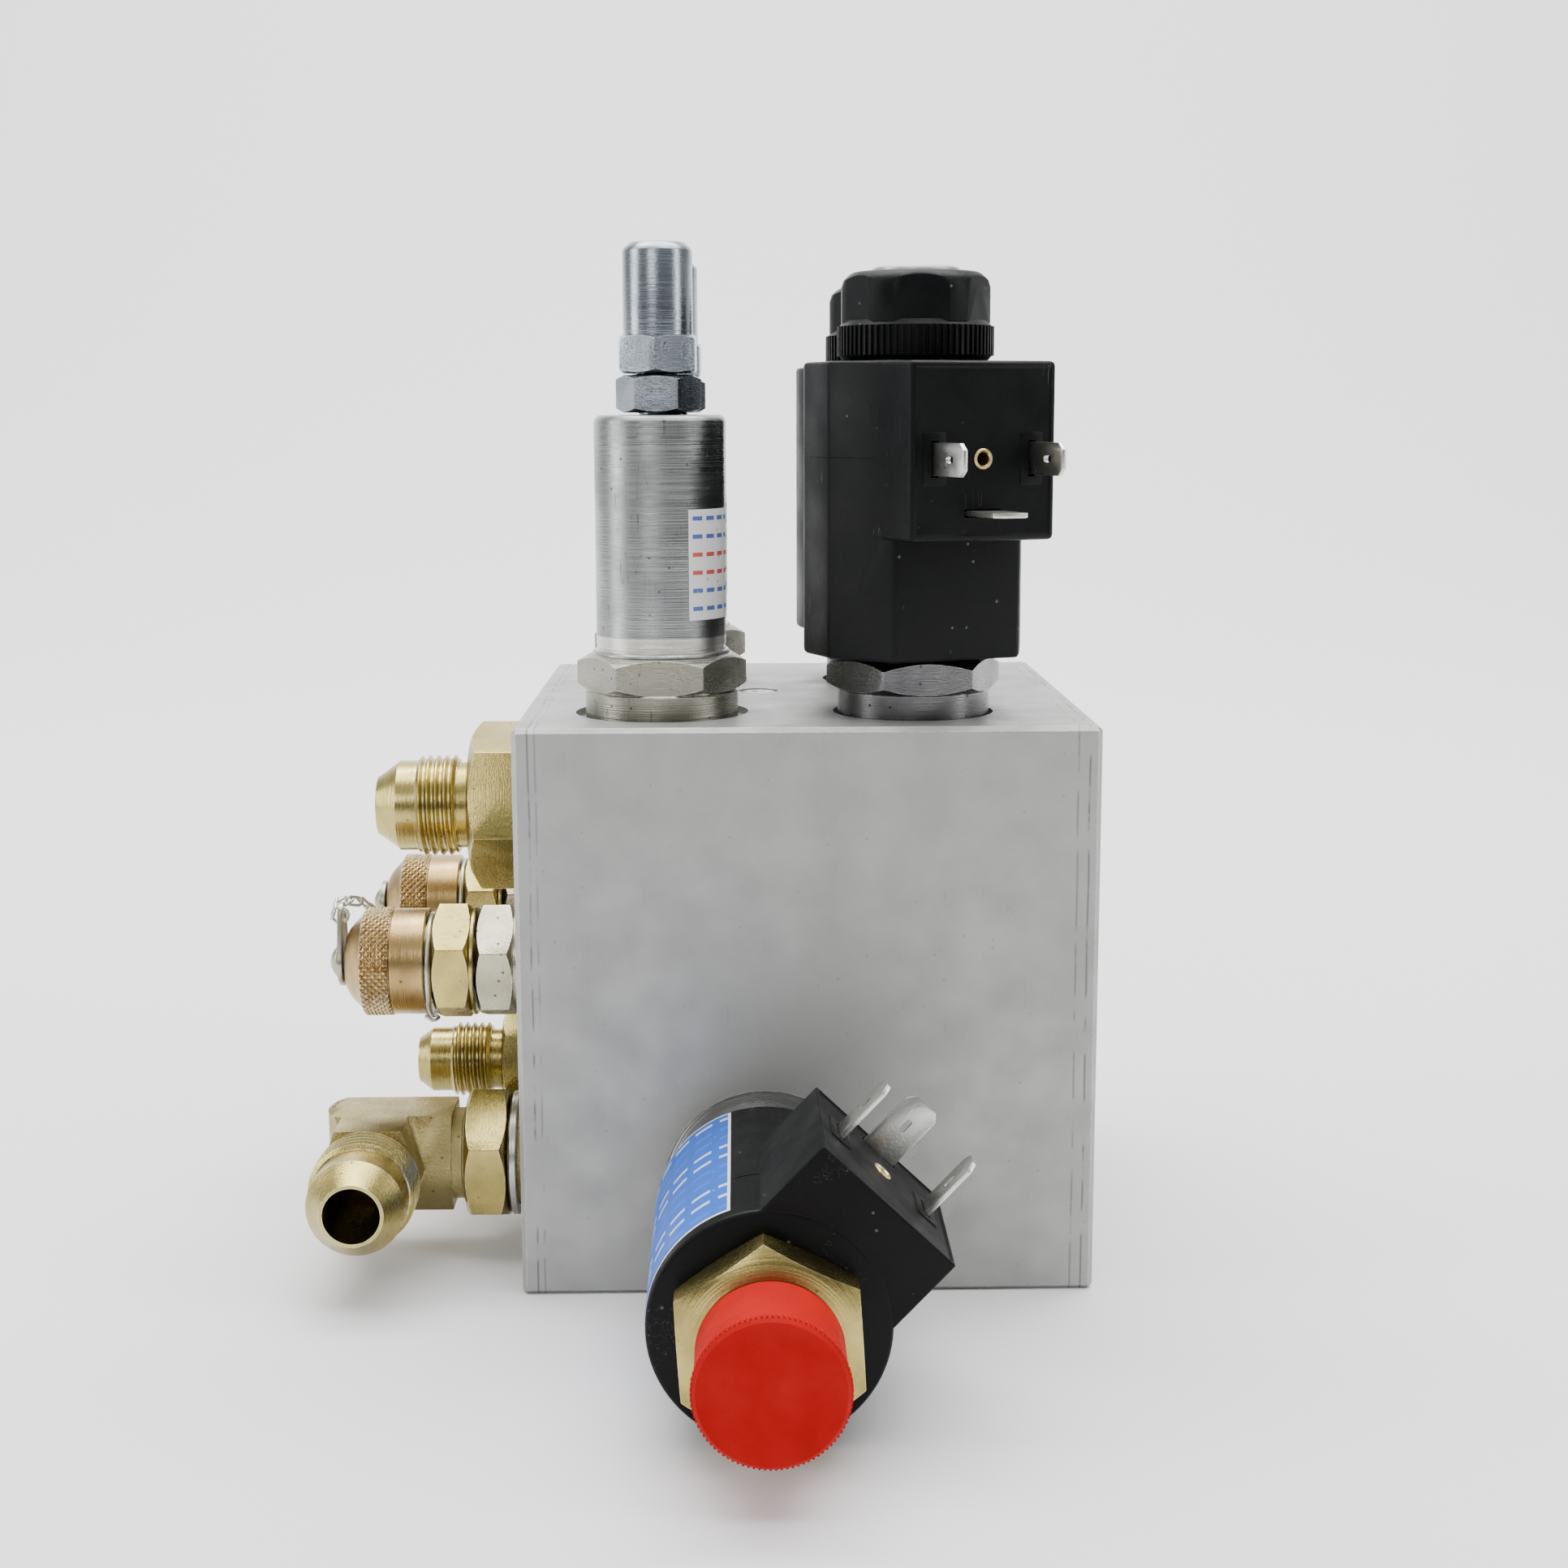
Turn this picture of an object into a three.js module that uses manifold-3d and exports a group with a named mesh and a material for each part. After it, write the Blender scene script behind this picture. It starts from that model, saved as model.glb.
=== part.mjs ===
// Hydraulic control manifold: a cubic valve block with two pressure relief cartridges and two
// solenoid cartridges on its top face, a third solenoid cartridge on its front face, and hose
// fittings and test points on its left face. Millimetres, +Z up, -Y is the front.
// The origin is the centre of the block's bottom face.

import * as THREE from "three";
import { mergeVertices } from "three/addons/utils/BufferGeometryUtils.js";
import Module from "manifold-3d";

const wasm = await Module();
wasm.setup();

// ---- driving dimensions ----------------------------------------------------------------

const GAP = 0.3; // clearance between neighbouring pieces
const BLOCK = 100; // edge of the cubic block
const HALF = BLOCK / 2;
const EDGE_CHAMFER = 0.8; // along the edges of the block

// Cartridge cavities, the same stepped bore for every cartridge
const CAVITY = { mouth: 11.3, middle: 9.6, tip: 8, pilot: 3.5 };
const CAVITY_DEPTH = { mouth: 15, middle: 29, tip: 42, pilot: 50 };
const NOSE = { thread: 11, middle: 9.25, tip: 7.6 };
const PORT_RADIUS = 1.6; // cross holes in a cartridge's nose
const SPOT_DEPTH = 1.5; // spot face sunk into the block round each cartridge

const RELIEF = {
  x: -25.2,
  y: [-27.5, 22.5],
  spotRadius: 15.35,
  collarRadius: 13.5,
  collarTop: 4.2, // heights above the block's top face
  hexFlats: 26,
  hexTop: 10.6,
  barrelRadius: 11.4,
  barrelTop: 52,
  boreRadius: 6,
  boreTop: 40,
  screwRadius: 4, // M8 adjusting screw
  screwTop: 74.8,
  nutFlats: 13,
  lockNut: [52.4, 58.8],
  capHex: [59.1, 65.7],
  capTop: 81.3,
  capRadius: 6.05,
};

const SOLENOID = {
  x: 19.4,
  y: [-28.2, 21.8],
  spotRadius: 14.25,
  collarRadius: 13.35,
  collarTop: 4.3,
  hexFlats: 27,
  hexTop: 10,
  hexTurn: 6.5, // degrees
  tubeTop: 77.1,
  facing: [-68, 68], // directions that the connectors face, degrees from +X
};

// Coils: a round body with a flat connector side, round an armature tube
const COIL = {
  bottom: 10.5,
  length: 50.4,
  tubeRadius: 7.7,
  padReach: 16.8, // flat pad under the connector, from the axis
  blockWidth: 27,
  blockLength: 29.5,
  blockRoot: 10,
  blockInset: 0.2, // from the connector's upper end to the coil's
  cornerRadius: 2,
  insertRadius: 1.8,
  insertDepth: 8,
};
const TOP_COIL = { radius: 19.4, flat: 18.75, reach: 25.6 };
const FRONT_COIL = { radius: 18.4, flat: 18.4, reach: 25.8 };

// Contact blades of the coil's connector: two contacts side by side and a wider earth blade
const BLADE = {
  thickness: 0.8,
  width: 5.4,
  reach: 10.6,
  spacing: 18,
  drop: 1.2, // the contacts sit this far below the middle of the connector
  earthWidth: 6.3,
  earthOffset: 8.9, // below the contacts
};

const FRONT = {
  x: -7.6,
  z: 19,
  spotRadius: 17.6,
  collarRadius: 14,
  collarTop: 4.3, // distances out from the block's front face
  hexFlats: 28.6,
  hexTop: 10,
  hexTurn: 98,
  tubeTop: 82,
  nut: [61.2, 68.7],
  nutFlats: 27,
  nutTurn: 93.5, // degrees
  cap: [69, 83.5],
  capRadius: 10.9,
  capRimRadius: 11.35,
  facing: 46.5,
};

// Fittings screwed into the left face; lengths are out from that face
const THREAD_8 = 9.525; // outer radius of the 3/4 inch flare thread
const THREAD_6 = 7.14; // outer radius of the 9/16 inch flare thread
const PRESSURE_PORT = { y: 0, z: 78.5 };
const DRAIN_PORT = { y: 0, z: 28.3 };
const ELBOW_PORT = { y: -25, z: 17.7 };
const TEST_PORT = { y: [-25, 25], z: 54.1 };
const PORT_BORE = { 8: 9.8, 6: 7.2 }; // radii of the threaded ports in the block
const PORT_DEPTH = { 8: 15, 6: 13 };
const STEM_DEPTH = 12; // how far each fitting is screwed in
const STRAIGHT_8 = {
  stem: 9.4,
  thread: THREAD_8,
  bore: 4.95,
  flats: 28,
  hexTop: 12.3,
  threadStart: 14.9,
  threadEnd: 22.6,
  nose: 30.3,
  turn: 16.4, // of the hexagon, degrees
};
const STRAIGHT_6 = {
  stem: 6.9,
  thread: THREAD_6,
  bore: 3.75,
  flats: 18.5,
  hexTop: 7.4,
  threadStart: 9.8,
  threadEnd: 17.3,
  nose: 23.8,
  turn: 10,
};
const ELBOW = {
  outlet: 28, // of the outlet's axis from the block
  noseY: -58.4,
  bodyStart: 14.2,
  halfWidth: 9.3, // across the parting plane
  halfHeight: 8.9,
  flatHalf: 5.9, // the flat top and bottom between the sloping sides
  armEnd: 14.6, // of the square part from the stem's axis
  neckRadius: 8.3,
  flareRadius: 8.8,
};
const ELBOW_WASHER = { inner: 9.75, outer: 11.3, bottom: 2.2, top: 3.5 };
const ELBOW_NUT = { flats: 22.6, bottom: 3.8, top: 11.7, turn: -10.5 };

// Cross drillings that join the cavities
const DRILLING = 2.5; // radius
const TOP_GALLERY = { x: -7.8, y: 2, depth: 84 };
const SIDE_GALLERY = { y: 2, z: [40, 78], depth: 60 };
const PLUG = { radius: 5.8, length: 8, socketFlats: 5, socketDepth: 4.5 };
const TOP_PLUG = { radius: 3.55, length: 7 };

const OUTER = 20; // sides of a large round part
const ROUND = 16; // sides of an ordinary round part
const INNER = 12; // sides of a bore or an inner part
const SMALL = 8; // sides of a thin drilling or pin

// ---- finishes --------------------------------------------------------------------------

const finish = (color, roughness, metalness) => ({ color, roughness, metalness });
const FINISH = {
  aluminium: finish(0xb4b4b1, 0.45, 0.9),
  steel: finish(0x9a9a94, 0.35, 1),
  blueZinc: finish(0xa4a8aa, 0.3, 1),
  dark: finish(0x4a4c4a, 0.4, 0.9),
  yellowZinc: finish(0xc9b562, 0.35, 1),
  brass: finish(0xb89a60, 0.35, 1),
  blackPlastic: finish(0x15181b, 0.45, 0),
  redPlastic: finish(0xc8372f, 0.5, 0),
  spring: finish(0xb8b8b4, 0.3, 1),
};

// ---- solids ----------------------------------------------------------------------------

// A closed three.js geometry as a manifold solid; faces that shrank to a line are dropped.
function solid(geometry) {
  const bare = geometry.index ? geometry.toNonIndexed() : geometry.clone();
  bare.deleteAttribute("normal");
  bare.deleteAttribute("uv");
  const merged = mergeVertices(bare, 1e-4);
  const triVerts = [];
  for (let i = 0; i < merged.index.count; i += 3) {
    const [a, b, c] = merged.index.array.slice(i, i + 3);
    if (a !== b && b !== c && c !== a) triVerts.push(a, b, c);
  }
  return new wasm.Manifold(
    new wasm.Mesh({
      numProp: 3,
      vertProperties: merged.attributes.position.array,
      triVerts: new Uint32Array(triVerts),
    }),
  );
}

// A manifold solid as a three.js geometry.
function geometryOf(shape) {
  const mesh = shape.getMesh();
  const geometry = new THREE.BufferGeometry();
  geometry.setAttribute("position", new THREE.BufferAttribute(mesh.vertProperties, 3));
  geometry.setIndex(new THREE.BufferAttribute(mesh.triVerts, 1));
  return geometry;
}

const joined = (shapes) => shapes.reduce((whole, shape) => whole.add(shape));
const cut = (shape, tools) => tools.reduce((rest, tool) => rest.subtract(tool), shape);
const moved = (shape, x, y, z) => shape.translate([x, y, z]);
const turned = (shape, degrees) => shape.rotate([0, 0, degrees]);

// Turned part about +Z from its outline as [radius, height] pairs, in order from the bottom
// to the top; an outline that leaves the axis closes on itself.
function lathe(outline, sides = ROUND) {
  const points = outline.map(([r, z]) => new THREE.Vector2(r, z));
  const onAxis = outline[0][0] === 0 && outline.at(-1)[0] === 0;
  if (!onAxis) points.push(points[0].clone());
  return solid(new THREE.LatheGeometry(points, sides).rotateX(Math.PI / 2));
}

function rod(radius, bottom, top, sides = ROUND) {
  const geometry = new THREE.CylinderGeometry(radius, radius, top - bottom, sides);
  return solid(geometry.rotateX(Math.PI / 2).translate(0, 0, (top + bottom) / 2));
}

function box([x0, y0, z0], [x1, y1, z1]) {
  const geometry = new THREE.BoxGeometry(x1 - x0, y1 - y0, z1 - z0);
  return solid(geometry.translate((x0 + x1) / 2, (y0 + y1) / 2, (z0 + z1) / 2));
}

// Rods along +X and +Y, for cross drillings.
const rodX = (radius, from, to, sides = SMALL) => rod(radius, from, to, sides).rotate([0, 90, 0]);
const rodY = (radius, from, to, sides = SMALL) => rod(radius, from, to, sides).rotate([-90, 0, 0]);

function extruded(shape, bottom, top, curveSegments = 12) {
  const options = { depth: top - bottom, bevelEnabled: false, curveSegments };
  return solid(new THREE.ExtrudeGeometry(shape, options).translate(0, 0, bottom));
}

// Hexagon prism with a corner on +X, its corners turned off at 30 degrees at each end.
function hexagon(flats, bottom, top, chamferTop = true, chamferBottom = false) {
  const corner = flats / Math.sqrt(3);
  const prism = rod(corner, bottom, top, 6).rotate([0, 0, 30]);
  const crown = flats * 0.475;
  const slope = (corner + 0.01 - crown) * Math.tan(Math.PI / 6);
  const outline = [[0, bottom]];
  if (chamferBottom) outline.push([crown, bottom], [corner + 0.01, bottom + slope]);
  else outline.push([corner + 0.01, bottom]);
  if (chamferTop) outline.push([corner + 0.01, top - slope], [crown, top], [0, top]);
  else outline.push([corner + 0.01, top], [0, top]);
  return prism.intersect(lathe(outline, OUTER));
}

// Round wire along a curve.
function wire(curve, radius, steps, sides = 6) {
  const section = new THREE.Shape();
  for (let i = 0; i < sides; i++) {
    const angle = (i / sides) * 2 * Math.PI;
    const [x, y] = [radius * Math.cos(angle), radius * Math.sin(angle)];
    if (i === 0) section.moveTo(x, y);
    else section.lineTo(x, y);
  }
  section.closePath();
  return solid(new THREE.ExtrudeGeometry(section, { steps, extrudePath: curve }));
}

class Helix extends THREE.Curve {
  constructor(radius, bottom, top, turns) {
    super();
    Object.assign(this, { radius, bottom, top, turns });
  }
  getPoint(t, target = new THREE.Vector3()) {
    const angle = t * this.turns * 2 * Math.PI;
    const z = this.bottom + t * (this.top - this.bottom);
    return target.set(this.radius * Math.cos(angle), this.radius * Math.sin(angle), z);
  }
}

// Compression spring about +Z between two seats.
function spring(radius, wireRadius, bottom, top, turns) {
  const helix = new Helix(radius, bottom + wireRadius + 0.2, top - wireRadius - 0.2, turns);
  return wire(helix, wireRadius, turns * 9, 5);
}

// ---- assembly helpers ------------------------------------------------------------------

const valve = new THREE.Group();

function place(parent, name, shape, look) {
  const mesh = new THREE.Mesh(geometryOf(shape), new THREE.MeshStandardMaterial(look));
  mesh.name = name;
  parent.add(mesh);
}

// A group whose own +Z points up, towards the front or towards the left of the valve.
function frameAt(x, y, z, direction = "up") {
  const group = new THREE.Group();
  group.position.set(x, y, z);
  if (direction === "front") group.rotation.x = Math.PI / 2;
  if (direction === "left") group.rotation.y = -Math.PI / 2;
  valve.add(group);
  return group;
}

// ---- valve block -----------------------------------------------------------------------

// Stepped cavity for a cartridge, opening at height 0 and going down.
function cavity(spotRadius) {
  return lathe([
    [0, -CAVITY_DEPTH.pilot],
    [CAVITY.pilot, -CAVITY_DEPTH.pilot],
    [CAVITY.pilot, -CAVITY_DEPTH.tip],
    [CAVITY.tip, -CAVITY_DEPTH.tip],
    [CAVITY.tip, -CAVITY_DEPTH.middle],
    [CAVITY.middle, -CAVITY_DEPTH.middle],
    [CAVITY.middle, -CAVITY_DEPTH.mouth],
    [CAVITY.mouth, -CAVITY_DEPTH.mouth],
    [CAVITY.mouth, -SPOT_DEPTH],
    [spotRadius, -SPOT_DEPTH],
    [spotRadius, 1],
    [0, 1],
  ]);
}

// Threaded port in the left face, with a thin drilling behind it that goes in by reach.
function leftPort(size, reach, y, z) {
  const thread = rod(PORT_BORE[size], -PORT_DEPTH[size], 1);
  const port = thread.add(rod(DRILLING, -reach, -1, SMALL));
  return moved(port.rotate([0, -90, 0]), -HALF, y, z);
}

function chamferedCube() {
  const cube = box([-HALF, -HALF, 0], [HALF, HALF, BLOCK]);
  const diagonal = (BLOCK - EDGE_CHAMFER) * Math.SQRT1_2;
  const centred = box([-diagonal, -diagonal, -BLOCK], [diagonal, diagonal, BLOCK]);
  const upright = moved(centred.rotate([0, 0, 45]), 0, 0, HALF);
  const alongX = moved(centred.rotate([0, 90, 0]).rotate([45, 0, 0]), 0, 0, HALF);
  const alongY = moved(centred.rotate([90, 0, 0]).rotate([0, 45, 0]), 0, 0, HALF);
  return cube.intersect(upright).intersect(alongX).intersect(alongY);
}

function manifoldBlock() {
  const bores = [];
  for (const y of RELIEF.y) bores.push(moved(cavity(RELIEF.spotRadius), RELIEF.x, y, BLOCK));
  for (const y of SOLENOID.y) {
    bores.push(moved(cavity(SOLENOID.spotRadius), SOLENOID.x, y, BLOCK));
  }
  bores.push(moved(cavity(FRONT.spotRadius).rotate([90, 0, 0]), FRONT.x, -HALF, FRONT.z));
  bores.push(leftPort(8, 44, PRESSURE_PORT.y, PRESSURE_PORT.z));
  bores.push(leftPort(8, 32, ELBOW_PORT.y, ELBOW_PORT.z));
  bores.push(leftPort(6, 44, DRAIN_PORT.y, DRAIN_PORT.z));
  for (const y of TEST_PORT.y) bores.push(leftPort(6, 24, y, TEST_PORT.z));

  const { x, y, depth } = TOP_GALLERY;
  bores.push(moved(rod(DRILLING, -depth, 0, SMALL), x, y, BLOCK));
  bores.push(moved(rod(TOP_PLUG.radius + GAP, -TOP_PLUG.length - 1, 1, INNER), x, y, BLOCK));
  for (const z of SIDE_GALLERY.z) {
    const bore = rodX(DRILLING, HALF - SIDE_GALLERY.depth, HALF, SMALL);
    const seat = rodX(PLUG.radius + GAP, HALF - PLUG.length - 1.5, HALF + 1, INNER);
    bores.push(moved(bore, 0, SIDE_GALLERY.y, z), moved(seat, 0, SIDE_GALLERY.y, z));
  }
  // drilling from front to back joins the two relief cavities, another the solenoid cavities
  const joinDepth = BLOCK - CAVITY_DEPTH.pilot + 3;
  for (const column of [RELIEF, SOLENOID]) {
    bores.push(moved(rodY(DRILLING, column.y[0], column.y[1], SMALL), column.x, 0, joinDepth));
  }
  return cut(chamferedCube(), bores);
}

function galleryPlugs() {
  const top = frameAt(TOP_GALLERY.x, TOP_GALLERY.y, BLOCK);
  const disc = lathe([
    [0, -TOP_PLUG.length],
    [TOP_PLUG.radius, -TOP_PLUG.length],
    [TOP_PLUG.radius, -0.6],
    [TOP_PLUG.radius - 0.7, -0.2],
    [1.2, -0.2],
    [0.6, -1],
    [0, -1],
  ], INNER);
  place(top, "top_gallery_plug", disc, FINISH.steel);

  SIDE_GALLERY.z.forEach((z, i) => {
    const side = frameAt(HALF, SIDE_GALLERY.y, z);
    side.rotation.y = Math.PI / 2;
    const body = lathe([
      [0, -PLUG.length],
      [PLUG.radius, -PLUG.length],
      [PLUG.radius, -1],
      [PLUG.radius - 0.5, -0.5],
      [0, -0.5],
    ], INNER);
    const socket = rod(PLUG.socketFlats / Math.sqrt(3), -PLUG.socketDepth, 1, 6);
    place(side, `side_gallery_plug_${i + 1}`, body.subtract(socket), FINISH.steel);
  });
}

// ---- pressure relief cartridges --------------------------------------------------------

const POPPET = { seat: -34, top: -20, stemTop: -14, radius: 5.6, stemRadius: 2.4 };
const SPRING_SEAT = { bottom: 19, top: 24, stemBottom: 13, radius: 5.6 };

function reliefBody() {
  const nose = lathe([
    [0, -40],
    [NOSE.tip - 0.8, -40],
    [NOSE.tip, -39],
    [NOSE.tip, -28.6],
    [NOSE.middle, -27.8],
    [NOSE.middle, -14.6],
    [NOSE.thread, -13.8],
    [NOSE.thread, -SPOT_DEPTH + GAP],
    [RELIEF.collarRadius, -SPOT_DEPTH + GAP],
    [RELIEF.collarRadius, RELIEF.collarTop],
    [0, RELIEF.collarTop],
  ]);
  const barrel = lathe([
    [0, RELIEF.hexTop - 1],
    [RELIEF.barrelRadius + 0.7, RELIEF.hexTop - 1],
    [RELIEF.barrelRadius + 0.7, RELIEF.hexTop],
    [RELIEF.barrelRadius, RELIEF.hexTop + 0.7],
    [RELIEF.barrelRadius, RELIEF.barrelTop - 1],
    [RELIEF.barrelRadius - 1, RELIEF.barrelTop],
    [0, RELIEF.barrelTop],
  ], OUTER);
  const hex = hexagon(RELIEF.hexFlats, RELIEF.collarTop - 0.5, RELIEF.hexTop, true, true);
  const bore = lathe([
    [0, -41],
    [3.4, -41],
    [3.4, POPPET.seat],
    [RELIEF.boreRadius, POPPET.seat],
    [RELIEF.boreRadius, RELIEF.boreTop],
    [RELIEF.screwRadius + GAP, RELIEF.boreTop + 1.5],
    [RELIEF.screwRadius + GAP, RELIEF.barrelTop + 1],
    [0, RELIEF.barrelTop + 1],
  ], INNER);
  const outlet = moved(rodX(PORT_RADIUS, -12, 12), 0, 0, -24);
  return cut(joined([nose, barrel, hex]), [bore, outlet]);
}

function reliefPoppet() {
  const { seat, top, stemTop, radius, stemRadius } = POPPET;
  return lathe([
    [0, seat - 2.4],
    [1.2, seat - 2.4],
    [3, seat - 0.1],
    [3, seat + GAP],
    [radius, seat + GAP],
    [radius, top],
    [stemRadius, top],
    [stemRadius, stemTop],
    [0, stemTop],
  ], INNER);
}

function springSeat() {
  const { bottom, top, stemBottom, radius } = SPRING_SEAT;
  return lathe([
    [0, stemBottom],
    [2.4, stemBottom],
    [2.4, bottom],
    [radius, bottom],
    [radius, top],
    [0, top],
  ], INNER);
}

function adjustScrew() {
  const { screwRadius, screwTop } = RELIEF;
  const bottom = SPRING_SEAT.top + GAP;
  const shank = lathe([
    [0, bottom],
    [screwRadius - 1.6, bottom],
    [screwRadius, bottom + 1.6],
    [screwRadius, screwTop - 0.8],
    [screwRadius - 0.8, screwTop],
    [0, screwTop],
  ], INNER);
  return shank.subtract(rod(4 / Math.sqrt(3), screwTop - 4, screwTop + 1, 6));
}

function lockNut() {
  const [bottom, top] = RELIEF.lockNut;
  const body = hexagon(RELIEF.nutFlats, bottom, top, true, true);
  return body.subtract(rod(RELIEF.screwRadius + GAP, bottom - 1, top + 1, INNER));
}

function capNut() {
  const [bottom, hexTop] = RELIEF.capHex;
  const { capTop, capRadius, screwRadius } = RELIEF;
  const cap = lathe([
    [0, hexTop - 1],
    [capRadius, hexTop - 1],
    [capRadius, capTop - 1.5],
    [capRadius - 1.5, capTop],
    [0, capTop],
  ], INNER);
  const hex = turned(hexagon(RELIEF.nutFlats, bottom, hexTop, true, true), 30);
  return hex.add(cap).subtract(rod(screwRadius + GAP, bottom - 1, capTop - 3, INNER));
}

function reliefCartridge(y, end) {
  const site = frameAt(RELIEF.x, y, BLOCK);
  const screws = new THREE.Group();
  screws.rotation.z = THREE.MathUtils.degToRad(-2);
  site.add(screws);
  place(site, `relief_body_${end}`, reliefBody(), FINISH.steel);
  place(site, `relief_poppet_${end}`, reliefPoppet(), FINISH.steel);
  const coilSpring = spring(3.9, 0.7, POPPET.top, SPRING_SEAT.bottom, 6);
  place(site, `relief_spring_${end}`, coilSpring, FINISH.spring);
  place(site, `relief_spring_seat_${end}`, springSeat(), FINISH.steel);
  place(screws, `relief_adjust_screw_${end}`, adjustScrew(), FINISH.blueZinc);
  place(screws, `relief_lock_nut_${end}`, lockNut(), FINISH.blueZinc);
  place(screws, `relief_cap_nut_${end}`, capNut(), FINISH.blueZinc);
}

// ---- solenoid cartridges ---------------------------------------------------------------

const SPOOL = { radius: 4.1, bore: 4.4, stemRadius: 2.2 };
const TUBE_BORE = 5.4;
const ARMATURE = { radius: 5.1, bottom: 12, top: 46, stroke: 2.5 };
const TUBE_FLOOR = 0.7; // where the tube's spigot sits inside the cartridge body
const POLE_FACE = ARMATURE.top + ARMATURE.stroke;

function solenoidBody({ collarRadius, collarTop, hexFlats, hexTop, hexTurn }) {
  const nose = lathe([
    [0, -38],
    [NOSE.tip - 0.8, -38],
    [NOSE.tip, -37],
    [NOSE.tip, -28.6],
    [NOSE.middle, -27.8],
    [NOSE.middle, -14.6],
    [NOSE.thread, -13.8],
    [NOSE.thread, -SPOT_DEPTH + GAP],
    [collarRadius, -SPOT_DEPTH + GAP],
    [collarRadius, collarTop],
    [0, collarTop],
  ]);
  const hex = turned(hexagon(hexFlats, collarTop - 0.5, hexTop, true, true), hexTurn);
  const bore = lathe([
    [0, -39],
    [SPOOL.bore, -39],
    [SPOOL.bore, TUBE_FLOOR],
    [6.5, TUBE_FLOOR],
    [6.5, hexTop + 1],
    [0, hexTop + 1],
  ], INNER);
  const ports = [-20, -33].map((z) => moved(rodX(PORT_RADIUS, -12, 12), 0, 0, z));
  return cut(nose.add(hex), [bore, ...ports]);
}

// Pressure tube: spigot, flange and long tube closed by the fixed pole; pinRadius drills
// the pole for a manual override pin.
function armatureTube(hexTop, tubeTop, pinRadius) {
  const { tubeRadius } = COIL;
  return lathe([
    [TUBE_BORE, TUBE_FLOOR + GAP],
    [6.2, TUBE_FLOOR + GAP],
    [6.2, hexTop + GAP],
    [tubeRadius, hexTop + GAP],
    [tubeRadius, tubeTop - 0.8],
    [tubeRadius - 0.8, tubeTop],
    [pinRadius, tubeTop],
    [pinRadius, POLE_FACE],
    [TUBE_BORE, POLE_FACE],
  ], INNER);
}

function armature() {
  const { radius, bottom, top } = ARMATURE;
  return lathe([
    [0, bottom],
    [radius, bottom],
    [radius, top - 0.6],
    [radius - 0.6, top],
    [0, top],
  ], INNER);
}

function spool() {
  const { radius, stemRadius } = SPOOL;
  const neck = radius - 1.5;
  return lathe([
    [0, -36],
    [radius, -36],
    [radius, -30],
    [neck, -29],
    [neck, -24],
    [radius, -23],
    [radius, -17],
    [neck, -16],
    [neck, -11],
    [radius, -10],
    [radius, -1],
    [stemRadius, -1],
    [stemRadius, ARMATURE.bottom - GAP],
    [0, ARMATURE.bottom - GAP],
  ], INNER);
}

const returnSpring = () => spring(4.7, 0.4, TUBE_FLOOR + 0.2, ARMATURE.bottom, 4);

// Section of the coil's body: round at the back, two flat flanks, two slanted facets and a
// flat pad on the connector side, which faces +X.
function coilSection({ radius, flat }) {
  const pad = COIL.padReach;
  const slant = Math.PI / 3;
  const padHalf = (flat - pad * Math.cos(slant)) / Math.sin(slant);
  const shoulder = (flat - flat * Math.sin(slant)) / Math.cos(slant);
  const back = Math.acos(-Math.sqrt(Math.max(0, radius ** 2 - flat ** 2)) / radius);
  const section = new THREE.Shape();
  section.moveTo(pad, -padHalf);
  section.lineTo(pad, padHalf);
  section.lineTo(shoulder, flat);
  section.absarc(0, 0, radius, back, 2 * Math.PI - back, false);
  section.lineTo(shoulder, -flat);
  section.closePath();
  return section;
}

// Outline of the connector block with rounded corners.
function connectorFace(width, height, corner) {
  const [w, h] = [width / 2, height / 2];
  const face = new THREE.Shape();
  face.moveTo(-w + corner, -h);
  face.absarc(w - corner, -h + corner, corner, -Math.PI / 2, 0, false);
  face.absarc(w - corner, h - corner, corner, 0, Math.PI / 2, false);
  face.absarc(-w + corner, h - corner, corner, Math.PI / 2, Math.PI, false);
  face.absarc(-w + corner, -h + corner, corner, Math.PI, 1.5 * Math.PI, false);
  return face;
}

const CARRIER = { depth: 5, thickness: 1.6, width: 23, height: 15 };

// The three blades and the carrier that holds them inside the connector, facing +X and
// level with the contacts; grow widens them into the pocket that holds them.
function terminals(reach, grow = 0) {
  const { thickness, width, spacing, earthWidth, earthOffset } = BLADE;
  const back = reach - CARRIER.depth;
  const root = back - 0.5;
  const tip = reach + BLADE.reach;
  const half = (size) => size / 2 + grow;
  const middle = -earthOffset / 4;
  const carrier = box(
    [back - CARRIER.thickness - grow, -half(CARRIER.width), middle - half(CARRIER.height)],
    [back + grow, half(CARRIER.width), middle + half(CARRIER.height)],
  );
  const contacts = [-spacing / 2, spacing / 2].map((y) =>
    box([root, y - half(thickness), -half(width)], [tip, y + half(thickness), half(width)]),
  );
  const earth = box(
    [root, -half(earthWidth), -earthOffset - half(thickness)],
    [tip, half(earthWidth), -earthOffset + half(thickness)],
  );
  return joined([carrier, ...contacts, earth]);
}

const COIL_TOP = COIL.bottom + COIL.length;
const CONNECTOR_MIDDLE = COIL_TOP - COIL.blockInset - COIL.blockLength / 2;
const CONTACT_LEVEL = CONNECTOR_MIDDLE - BLADE.drop;

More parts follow.
